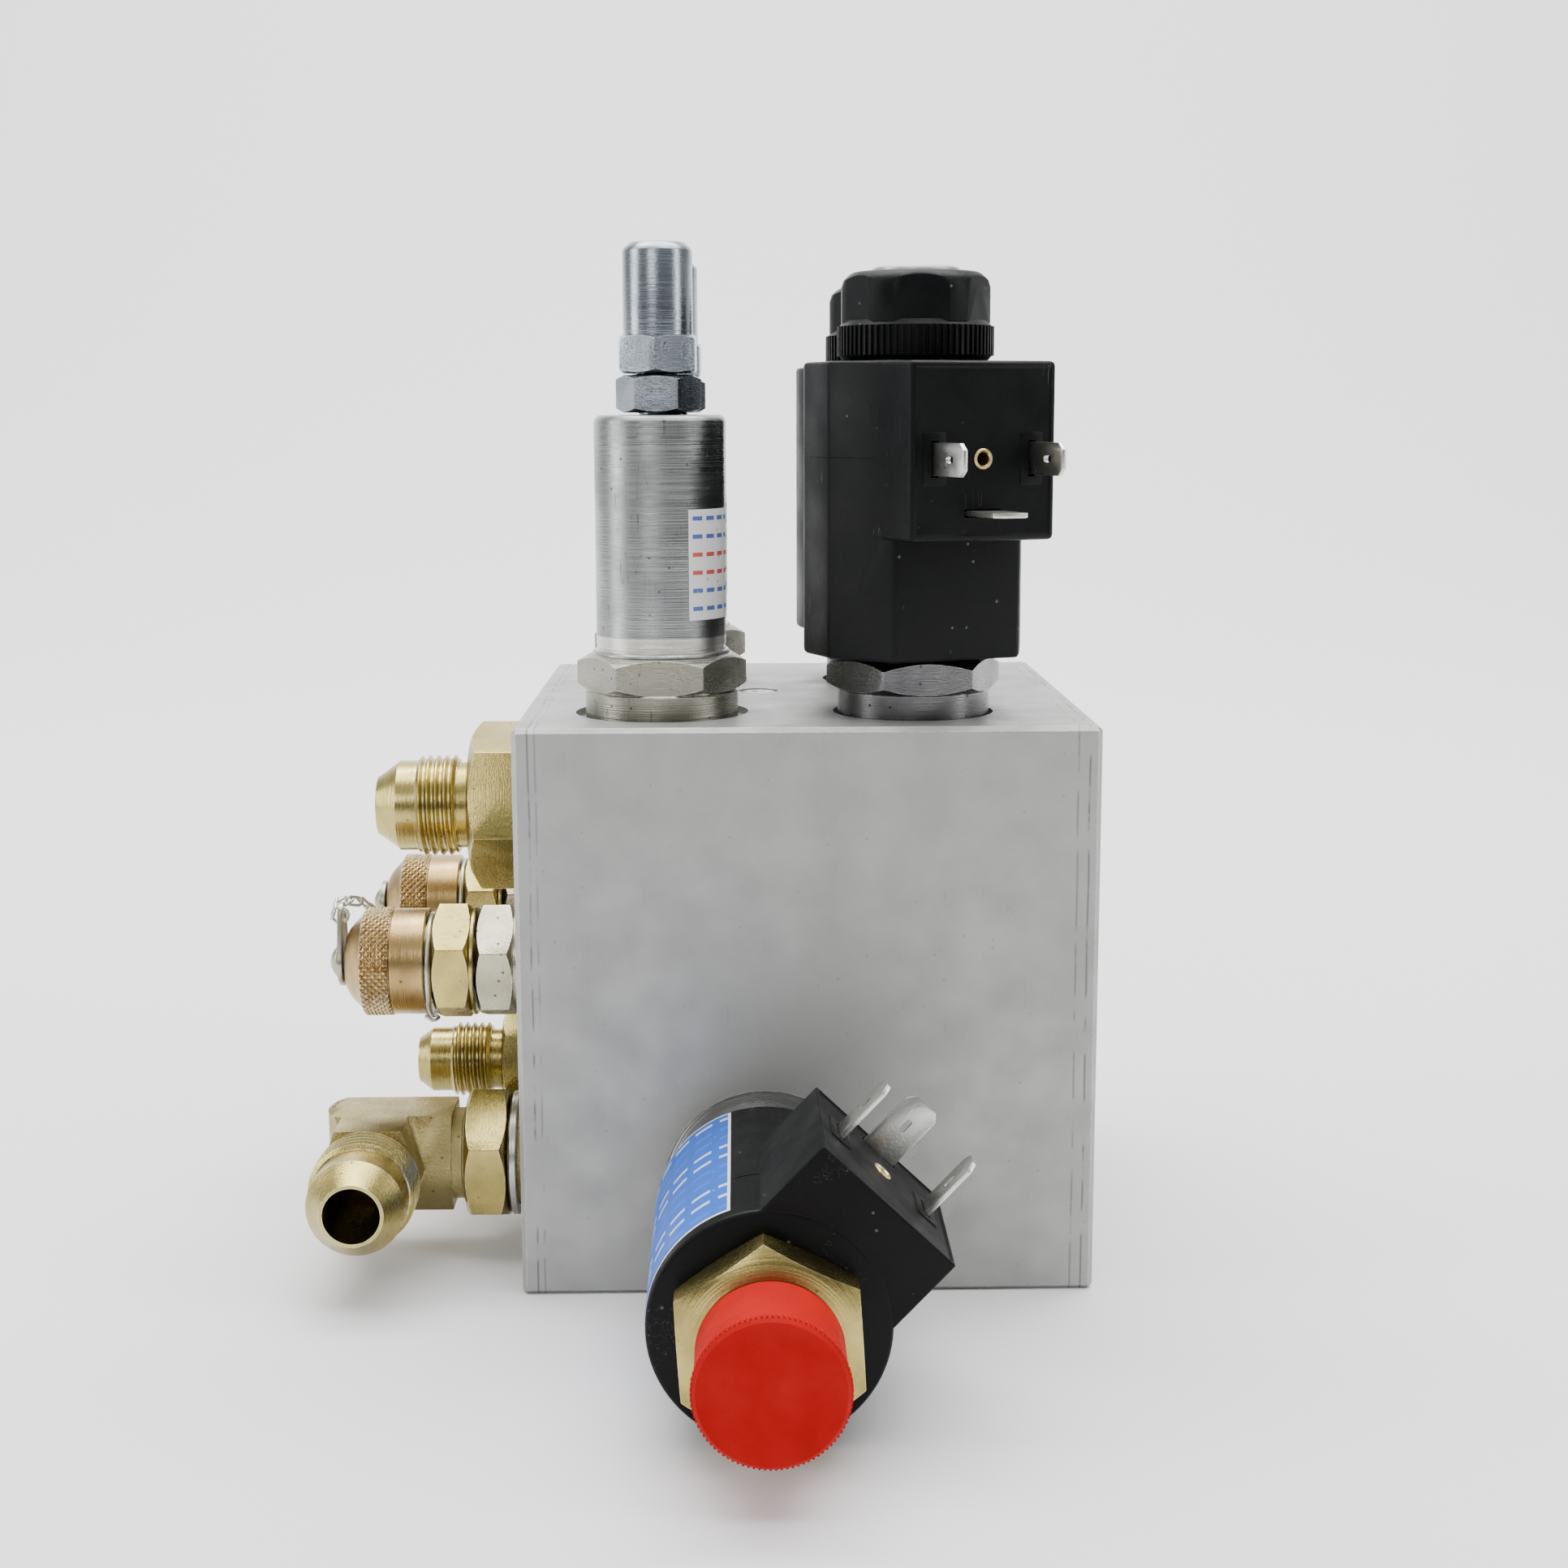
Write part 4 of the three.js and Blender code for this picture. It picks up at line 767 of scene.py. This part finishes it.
def blade(reach, level, width, y, flat=False):
    """Contact blade along +X with chamfered tip and a slotted hole."""
    half, tip = width / 2, reach + BLADE_REACH
    outline = [(reach - 5.5, -half), (tip - 1.3, -half), (tip, -half + 1.1), (tip, half - 1.1),
               (tip - 1.3, half), (reach - 5.5, half)]
    strip = soften(plate(outline, -0.4, 0.4), 0.1, 2, 40)
    slot = soften(slab((reach + 4.6, -0.55, -2), (reach + 7, 0.55, 2)), 0.4, 3, 40)
    cut(strip, slot)
    if not flat:
        shifted(strip, turn=(90, 0, 0))
    return shifted(strip, (0, y, level))


def make_coil(radius, flat, reach, sharp):
    """Moulded coil with its connector facing +X; sharp gives the connector crisp edges."""
    low, high = CONNECTOR
    body = soften(plate(coil_outline(radius, flat), COIL_BOTTOM, COIL_TOP), 0.7, 3, 25)
    block = slab((10, -CONNECTOR_HALF, low), (reach, CONNECTOR_HALF, high))
    choose_faces(block, lambda c, n: n.x > 0.9)
    bpy.ops.mesh.inset(thickness=0.5 if sharp else 0.9, depth=0)
    bpy.ops.mesh.inset(thickness=0.4, depth=-0.25)
    bpy.ops.object.mode_set(mode="OBJECT")
    soften(block, 0.35 if sharp else 1.4, 4, 60)
    added(body, block)
    # moulded steps on the outer face round the contacts
    for y in (-CONTACT_OFFSET, CONTACT_OFFSET):
        step = slab((reach - 1, y - 2.1, CONTACT_LEVEL - 4.4),
                    (reach - 0.02, y + 2.1, CONTACT_LEVEL + 4.4))
        added(body, soften(step, 0.25, 2, 40))
    ridge = slab((-radius, -flat - 0.07, COIL_TOP - 16.2), (16.4, flat + 0.07, COIL_TOP - 16.0))
    kept_inside(ridge, plate([(x * 1.004, y * 1.004) for x, y in coil_outline(radius, flat)],
                             20, 60))
    added(body, ridge)
    pocket = slab((reach - 6.9, -11.8, CONTACT_LEVEL - 10.02), (reach - 4.7, 11.8,
                                                               CONTACT_LEVEL + 5.57))
    cut(body, rod(8, 9, COIL_TOP + 1, 72), pocket)
    for y in (-CONTACT_OFFSET, CONTACT_OFFSET):
        cut(body, slab((reach - 6, y - 0.7, CONTACT_LEVEL - 3), (reach + 1, y + 0.7,
                                                                 CONTACT_LEVEL + 3)))
    cut(body, slab((reach - 6, -3.45, CONTACT_LEVEL - 9.6), (reach + 1, 3.45,
                                                             CONTACT_LEVEL - 8.2)))
    cut(body, shifted(rod(1.8, reach - 8, reach + 1, 32), (0, 0, CONTACT_LEVEL), (0, 90, 0)))
    return body


def make_terminals(reach):
    """Contact blades, the carrier that holds them and the brass threaded insert."""
    blades = blade(reach, CONTACT_LEVEL, 5.4, -CONTACT_OFFSET)
    with_parts(blades, blade(reach, CONTACT_LEVEL, 5.4, CONTACT_OFFSET),
               blade(reach, CONTACT_LEVEL - EARTH_DROP, 6.3, 0, True))
    carrier = slab((reach - 6.6, -11.5, CONTACT_LEVEL - 9.72),
                   (reach - 5, 11.5, CONTACT_LEVEL + 5.27))
    insert = turned([(1.1, reach - 7.6), (1.7, reach - 7.6), (1.7, reach - 0.15),
                     (1.55, reach), (1.3, reach), (1.1, reach - 0.3)], 32)
    return blades, soften(carrier, 0.2), insert


def place_coil(end, at, direction, size, facing, sharp=False):
    body_name = f"coil_set_{end}"
    coil = make_coil(*size, sharp)
    blades, carrier, insert = make_terminals(size[2])
    finished(coil, f"coil_body_{end}", body_name, FINISH["black"], f"coil_{end}",
             at, direction, facing)
    finished(blades, f"contact_blades_{end}", body_name, FINISH["contact"],
             f"coil_terminals_{end}", at, direction, facing)
    finished(carrier, f"contact_carrier_{end}", body_name, FINISH["grey_face"], None,
             at, direction, facing)
    shifted(insert, (0, 0, CONTACT_LEVEL), (0, 90, 0))
    finished(insert, f"threaded_insert_{end}", body_name, FINISH["brass"], None, at,
             direction, facing)


def make_coil_nut():
    bottom = COIL_TOP + 0.3
    top = bottom + 6.7
    levels = [(0, bottom), (12.6, bottom), (13.2, bottom + 0.7), (13.2, top - 0.9), (12.4, top),
              (0, top)]
    ring = turned(levels, 144)
    choose_faces(ring, lambda c, n: abs(n.z) < 0.2 and math.hypot(c.x, c.y) > 13
                 and int(math.degrees(math.atan2(c.y, c.x)) // 2.5) % 2 == 0)
    raised(ring, 0.08, 0.42)
    hexa = plate(polygon(24 / math.sqrt(3), 6), top - 0.5, top + 8.2)
    crown = turned([(0, top - 1), (12.9, top - 1), (12.9, top + 5.6), (12.5, top + 6.9),
                    (11.4, top + 7.9), (10.8, top + 8.2), (0, top + 8.2)], 96)
    kept_inside(hexa, crown)
    soften(hexa, 0.35, 3, 35)
    added(ring, hexa)
    return cut(ring, turned([(0, bottom - 1), (8.6, bottom - 1), (8, bottom + 0.4),
                             (8, top + 7.7), (8.6, top + 8.4), (8.6, top + 9), (0, top + 9)]))


def make_solenoids():
    body = make_solenoid_body(13.35, 4.3, 27, 10, 6.5)
    tube = make_tube(10, 77.1)
    nut = make_coil_nut()
    pin = turned([(0, 46.3), (1.7, 46.3), (1.7, 76.1), (1.3, 76.6), (0, 76.6)], 32)
    for end, facing in zip(ENDS, (-68, 68)):
        at = SOLENOID_AT[end]
        finished(copied(body), f"cartridge_hex_{end}", "root", FINISH["dark_zinc"],
                 f"solenoid_body_{end}", at)
        finished(copied(tube), f"pressure_tube_{end}", "root", FINISH["steel"],
                 f"armature_tube_{end}", at)
        finished(copied(pin), f"push_pin_{end}", f"override_{end}", FINISH["brass"],
                 f"override_pin_{end}", at)
        finished(copied(nut), f"knurled_nut_{end}", "root", FINISH["black"], f"coil_nut_{end}",
                 at)
        place_coil(end, at, "up", (19.4, 18.75, 25.6), facing)
    spare(body, tube, nut, pin)


def make_lower_solenoid():
    body = make_solenoid_body(14, 4.3, 28.6, 10, 98)
    finished(body, "cartridge_hex_lower", "root", FINISH["dark_zinc"], "solenoid_body_lower",
             LOWER_AT, "front")
    finished(make_tube(10, 82), "pressure_tube_lower", "root", FINISH["steel"],
             "armature_tube_lower", LOWER_AT, "front")
    place_coil("lower", LOWER_AT, "front", (18.4, 18.4, 25.8), 46.5, True)
    for name, radius, low, high, start, end, look in (
            ("label_border", 18.42, 11.6, 58.4, 108, 205, "label_edge"),
            ("blue_label", 18.47, 12.2, 57.8, 109.5, 203.5, "blue_label")):
        finished(curved_label(radius, low, high, start, end, 0.05), name, "coil_set_lower",
                 FINISH[look], None, LOWER_AT, "front")
    nut = hexagon(27, 61.2, 68.7, 93.5, True, True, 0.15)
    cut(nut, turned([(0, 60), (8.7, 60), (8, 61.8), (8, 68.1), (8.7, 69.5), (0, 69.5)]))
    finished(nut, "yellow_nut", "root", FINISH["yellow_zinc"], "coil_nut_lower",
             LOWER_AT, "front")
    cap = turned([(0, 82.3), (8, 82.3), (8, 69), (10.6, 69), (10.9, 69.4), (10.9, 81.7),
                  (11.1, 82), (11.1, 83), (10.6, 83.5), (0, 83.5)], 180)
    choose_faces(cap, lambda c, n: abs(n.z) < 0.2 and c.z > 82 and math.hypot(c.x, c.y) > 11
                 and int(math.degrees(math.atan2(c.y, c.x)) // 2) % 2 == 0)
    raised(cap, 0.05, 0.24)
    finished(cap, "push_on_cap", "protective_cap", FINISH["red"], "protective_cap",
             LOWER_AT, "front")


# ---- hose fittings ---------------------------------------------------------------------


def flare_nose(thread, bore, start, end, nose):
    """Outline of a 37 degree flare end above its neck."""
    root, lip, land = thread - 0.75, bore + 0.7, thread - 1.0
    cone = (land - lip) / math.tan(math.radians(37))
    return [(root, start), (root, end), (land, end + 0.1), (land, nose - 0.3 - cone),
            (lip + 0.1, nose - 0.4), (lip - 0.1, nose), (0, nose)]


def make_straight(stem, thread, bore, flats, hex_top, start, end, nose, turn, pitch):
    neck = thread - 1.4
    body = turned([(0, -12), (stem, -12), (stem, hex_top - 0.5), (neck, hex_top - 0.5),
                   (neck, start)] + flare_nose(thread, bore, start, end, nose), 96)
    added(body, hexagon(flats, 0.3, hex_top, turn))
    added(body, thread_ridge(thread, thread - 0.75, pitch, start, end, 64))
    return cut(body, turned([(0, -13), (bore, -13), (bore, nose - 0.4), (bore + 0.3, nose + 0.1),
                             (bore + 0.3, nose + 1), (0, nose + 1)], 64))


def forged_arm(bottom, top):
    high, wide, flat = 8.9, 9.3, 5.9
    section = [(-high, -flat), (0, -wide), (high, -flat), (high, flat), (0, wide), (-high, flat)]
    return plate(section, bottom, top)


def make_elbow():
    stem = turned([(0, -12), (9.4, -12), (9.4, 12), (8.3, 12.4), (8.3, 15.2), (0, 15.2)], 96)
    arm = forged_arm(14.2, 28)
    outward = shifted(forged_arm(0, 14.6), (0, 0, 28), (90, 0, 0))
    heel = shifted(rod(9.24, -9.6, 9.6, 64), (0, 0, 28), (1.7, 90, 0))
    kept_inside(heel, forged_arm(14.6, 37.9))
    bend = soften(added(arm, outward, heel), 0.7, 3, 25)
    flare = turned([(0, 14), (8.4, 14), (8.4, 15.8)]
                   + flare_nose(9.525, 4.95, 15.8, 23.6, 33.4), 96)
    added(flare, thread_ridge(9.525, 8.775, 1.59, 15.8, 23.6, 64))
    cut(flare, rod(4.95, -1, 34.4, 64))
    shifted(flare, (0, 0, 28), (90, 0, 0))
    added(bend, stem)
    cut(bend, rod(4.95, -13, 28, 64), shifted(rod(4.95, 0, 34.4, 64), (0, 0, 28), (90, 0, 0)))
    finished(flare, "elbow_flare", "elbow", FINISH["yellow_zinc"], None,
             ELBOW_AT, "left")
    finished(bend, "forged_elbow", "elbow", FINISH["forged_zinc"], "elbow_fitting",
             ELBOW_AT, "left")
    washer = turned([(9.75, 2.2), (11.1, 2.2), (11.3, 2.4), (11.3, 3.3), (11.1, 3.5),
                     (9.75, 3.5)], 96)
    finished(washer, "seal_washer", "root", FINISH["steel"], "elbow_seal_washer",
             ELBOW_AT, "left")
    nut = hexagon(22.6, 3.8, 11.7, -10.5, True, True, 0.12)
    cut(nut, turned([(0, 3), (10.2, 3), (9.75, 4.2), (9.75, 11.2), (10.2, 12), (0, 12.5)]))
    finished(nut, "elbow_nut", "root", FINISH["yellow_zinc"], "elbow_lock_nut",
             ELBOW_AT, "left")


def make_hose_fittings():
    finished(make_straight(9.4, 9.525, 4.95, 28, 12.3, 14.9, 22.6, 30.3, 16.4, 1.59),
             "pressure_fitting", "root", FINISH["yellow_zinc"], "pressure_port_fitting",
             PRESSURE_AT, "left")
    finished(make_straight(6.9, 7.14, 3.75, 18.5, 7.4, 9.8, 17.3, 23.8, 10, 1.41),
             "drain_fitting", "root", FINISH["yellow_zinc"], "drain_port_fitting",
             DRAIN_AT, "left")
    make_elbow()


# ---- test points -----------------------------------------------------------------------

# points as (angle from up towards the back, distance from the axis, distance out)
CHAIN_ROUTE = {
    "front": [(0, 8.6, 35.3), (8, 9.8, 35.2), (24, 11.3, 33.6), (43, 12.5, 31.2),
              (65, 12.9, 28.8), (90, 12.6, 26.4), (115, 12.2, 24), (140, 12, 21.6),
              (162, 11.6, 19.2), (180, 10.9, 17.4)],
    "rear": [(180, 8.6, 35.3), (180, 10.6, 35.4), (180, 15.5, 33.2), (180, 20.5, 29.6),
             (180, 22.6, 25.6), (180, 20.5, 21.6), (180, 15.5, 18.4), (180, 10.2, 17.4)],
}


def bent_loop(points, radius):
    """Closed loop of round wire through the points."""
    wire = new_line(points + points[:1])
    bpy.ops.mesh.remove_doubles(threshold=0.001)
    bpy.ops.object.mode_set(mode="OBJECT")
    only(wire)
    bpy.ops.object.convert(target="CURVE")
    wire = bpy.context.object
    wire.data.bevel_depth, wire.data.bevel_resolution = radius, 3
    bpy.ops.object.convert(target="MESH")
    return bpy.context.object


def chain_link(length, width, radius):
    """Oval wire link along +X, lying in the plane of X and Y."""
    half, bow = length / 2 - width / 2, width / 2
    points = []
    for side, centre in ((1, half), (-1, -half)):
        for i in range(9):
            a = math.radians(-90 + 22.5 * i) + (0 if side > 0 else math.pi)
            points.append((centre + bow * math.cos(a), bow * math.sin(a), 0))
    return bent_loop(points, radius)


def along(route, distance):
    """Point and direction at a distance along a broken line."""
    for a, b in zip(route, route[1:]):
        step = (b - a).length
        if distance <= step or b is route[-1]:
            return a + (b - a) * min(1, distance / step), (b - a).normalized()
        distance -= step


def make_chain(end):
    """Twisted oval links from the strap's hole to a ring round the coupling's neck."""
    route = [Vector((away * math.cos(math.radians(angle)), away * math.sin(math.radians(angle)),
                     out)) for angle, away, out in CHAIN_ROUTE[end]]
    total = sum((b - a).length for a, b in zip(route, route[1:]))
    count = round(total / 3.1)
    pattern = chain_link(4.4, 1.5, 0.3)
    links = []
    for i in range(count):
        spot, course = along(route, (i + 0.5) * total / count)
        link = copied(pattern)
        turn = Matrix.Rotation(math.radians(90 * (i % 2) + 20), 4, "X")
        only(link)
        link.matrix_world = (Matrix.Translation(spot)
                             @ course.to_track_quat("X", "Z").to_matrix().to_4x4() @ turn)
        bpy.ops.object.transform_apply(location=True, rotation=True, scale=True)
        links.append(link)
    spare(pattern)
    flip = 1 if end == "front" else -1
    hook = bent_loop([(flip * (8.6 + x), 0, 34 + z) for x, z in polygon(1.5, 12)], 0.3)
    ring = bent_loop([(x - 0.75, y, 17.4) for x, y in polygon(9.25, 48)], 0.42)
    return with_parts(ring, hook, *links)


def make_tab():
    outline = [(4.4 * math.cos(a), 4.4 * math.sin(a)) for a in
               (math.radians(60 + 10 * k) for k in range(25))]
    outline += [(8.6 + 2.4 * math.cos(a), 2.4 * math.sin(a)) for a in
                (math.radians(-90 + 12 * k) for k in range(16))]
    tab = plate(outline, 33.3, 34.2)
    cut(tab, shifted(rod(1.5, 32, 36, 32), (8.6, 0, 0)))
    soften(tab, 0.12, 2, 40)
    return added(tab, turned([(0, 33.4), (2.9, 33.4), (2.9, 34.5), (2.7, 34.9), (2.1, 35.4),
                              (1.3, 35.8), (0.9, 35.9), (0, 35.9)], 48))


def make_test_points():
    adapter = turned([(0, -12), (6.9, -12), (6.9, 0.3), (9.2, 0.3), (9.4, 0.5), (9.4, 2),
                      (9.2, 2.3), (0, 2.3)], 96)
    added(adapter, hexagon(19, 2, 8.9, -11, True, True))
    cut(adapter, rod(5.3, -13, 10, 64))
    coupling = turned([(0, 0), (5, 0), (5, 9.2), (9.6, 9.2), (9.8, 9.4), (9.8, 9.8), (9.6, 10),
                       (7.7, 10), (7.7, 26), (6.7, 27), (0, 27)], 96)
    added(coupling, hexagon(19, 9.8, 16.8, -7, True, True))
    cut(coupling, rod(1.6, 6, 28, 24))
    cap = turned([(0, 28), (8, 28), (8, 18.1), (9.4, 18.1), (9.6, 18.3), (9.6, 24), (9.35, 24.3),
                  (9.35, 29.5), (8.9, 29.7), (8.3, 30.2), (7.4, 31.1), (6.4, 32), (5.2, 32.7),
                  (4, 33), (0, 33)], 96)
    added(cap, diamond_band(9.45, 24.35, 29.45, 44, 4, 0.36))
    tab = make_tab()
    for end in ENDS:
        at, hang = TEST_AT[end], 0 if end == "front" else 180
        finished(copied(adapter), f"adapter_hex_{end}", "root", FINISH["pale_zinc"],
                 f"test_adapter_{end}", at, "left")
        finished(copied(coupling), f"coupling_hex_{end}", "root", FINISH["yellow_zinc"],
                 f"test_coupling_{end}", at, "left")
        finished(copied(cap), f"dust_cap_{end}", f"test_cap_{end}", FINISH["cap_brass"],
                 f"test_cap_{end}", at, "left")
        finished(copied(tab), f"cap_strap_{end}", f"test_tab_{end}", FINISH["pale_zinc"],
                 f"test_cap_tab_{end}", at, "left", hang)
        finished(make_chain(end), f"cap_chain_{end}", f"test_tab_{end}", FINISH["steel"],
                 f"test_cap_chain_{end}", at, "left")
    spare(adapter, coupling, cap, tab)


# ---- the whole valve -------------------------------------------------------------------

make_block()
make_gallery_plugs()
make_relief()
make_solenoids()
make_lower_solenoid()
make_hose_fittings()
make_test_points()

for name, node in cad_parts.items():
    look = "spring" if "spring" in name and "seat" not in name else "inner_steel"
    for place in range(len(node.data.materials)):
        node.data.materials[place] = FINISH[look]

# ---- studio ----------------------------------------------------------------------------


def plain(name, shade, roughness):
    material = bpy.data.materials.new(name)
    material.use_nodes = True
    shader = material.node_tree.nodes["Principled BSDF"]
    shader.inputs["Base Color"].default_value = (*shade, 1)
    shader.inputs["Roughness"].default_value = roughness
    return material


def make_sweep():
    """Pale floor that curves up into a wall far behind."""
    path = [(0, -4, 0), (0, 0.8, 0)]
    path += [(0, 0.8 + 2 * math.sin(a), 2 - 2 * math.cos(a)) for a in
             (math.radians(6 * k) for k in range(1, 16))]
    sweep = new_line(path + [(0, 2.8, 6)])
    bpy.ops.transform.translate(value=(-5, 0, 0))
    bpy.ops.mesh.extrude_region_move(TRANSFORM_OT_translate={"value": (10, 0, 0)})
    bpy.ops.mesh.select_all(action="SELECT")
    bpy.ops.mesh.normals_make_consistent(inside=False)
    bpy.ops.object.mode_set(mode="OBJECT")
    bpy.ops.object.shade_smooth()
    sweep.name = "floor"
    sweep.data.materials.append(plain("pale paper", (0.8, 0.8, 0.81), 0.9))


def soft_light(name, where, size, power, aim=(0, 0, 0.08)):
    lamp = bpy.data.lights.new(name, "AREA")
    lamp.shape, lamp.size, lamp.size_y = "RECTANGLE", size[0], size[1]
    lamp.energy = power
    lit = bpy.data.objects.new(name, lamp)
    bpy.context.collection.objects.link(lit)
    lit.location = where
    lit.rotation_euler = (Vector(aim) - Vector(where)).to_track_quat("-Z", "Y").to_euler()


make_sweep()
soft_light("overhead", (0.05, 0.15, 1.3), (1.5, 1.2), 34)
soft_light("left_panel", (-1.2, -0.2, 0.5), (0.5, 0.9), 7)
soft_light("front_panel", (-0.5, -1.6, 0.9), (0.6, 0.5), 5)
soft_light("right_strip", (1.1, -0.4, 0.5), (0.2, 0.9), 4)
soft_light("wall_wash", (0, 0.9, 2.6), (4, 1), 170, aim=(0, 2.8, 1.1))


def make_surroundings():
    """Pale above and behind, dim towards the front, so metal shows dark bands."""
    world = bpy.data.worlds.new("studio")
    world.use_nodes = True
    w = Wiring(world.node_tree)
    direction = w.add("ShaderNodeSeparateXYZ",
                      _0=w.add("ShaderNodeTexCoord").outputs["Generated"]).outputs
    above = w.mask(direction[2], 0.1, 0.7)
    behind = w.mask(direction[1], -0.1, 0.6)
    side = w.mask(w.maths("ABSOLUTE", direction[0]), 0.55, 0.95)
    amount = w.maths("MAXIMUM", w.maths("MAXIMUM", above, behind),
                     w.maths("MULTIPLY", side, 0.5))
    shade = w.mixed(amount, (0.02, 0.02, 0.02, 1), (0.97, 0.97, 0.96, 1))
    background = world.node_tree.nodes["Background"]
    world.node_tree.links.new(shade, background.inputs["Color"])
    background.inputs["Strength"].default_value = 0.75
    return world


world = make_surroundings()
bpy.context.scene.world = world

lens = bpy.data.cameras.new("camera")
lens.lens, lens.sensor_width, lens.clip_start = 51.62, 36, 0.01
camera = bpy.data.objects.new("camera", lens)
bpy.context.collection.objects.link(camera)
camera.location = (-0.01161, -0.42476, 0.15234)
level = Euler((math.radians(80.62), 0, math.radians(-1.16))).to_quaternion()
camera.rotation_euler = (level @ Quaternion((0, 0, 1), math.radians(-0.149))).to_euler()
bpy.context.scene.camera = camera
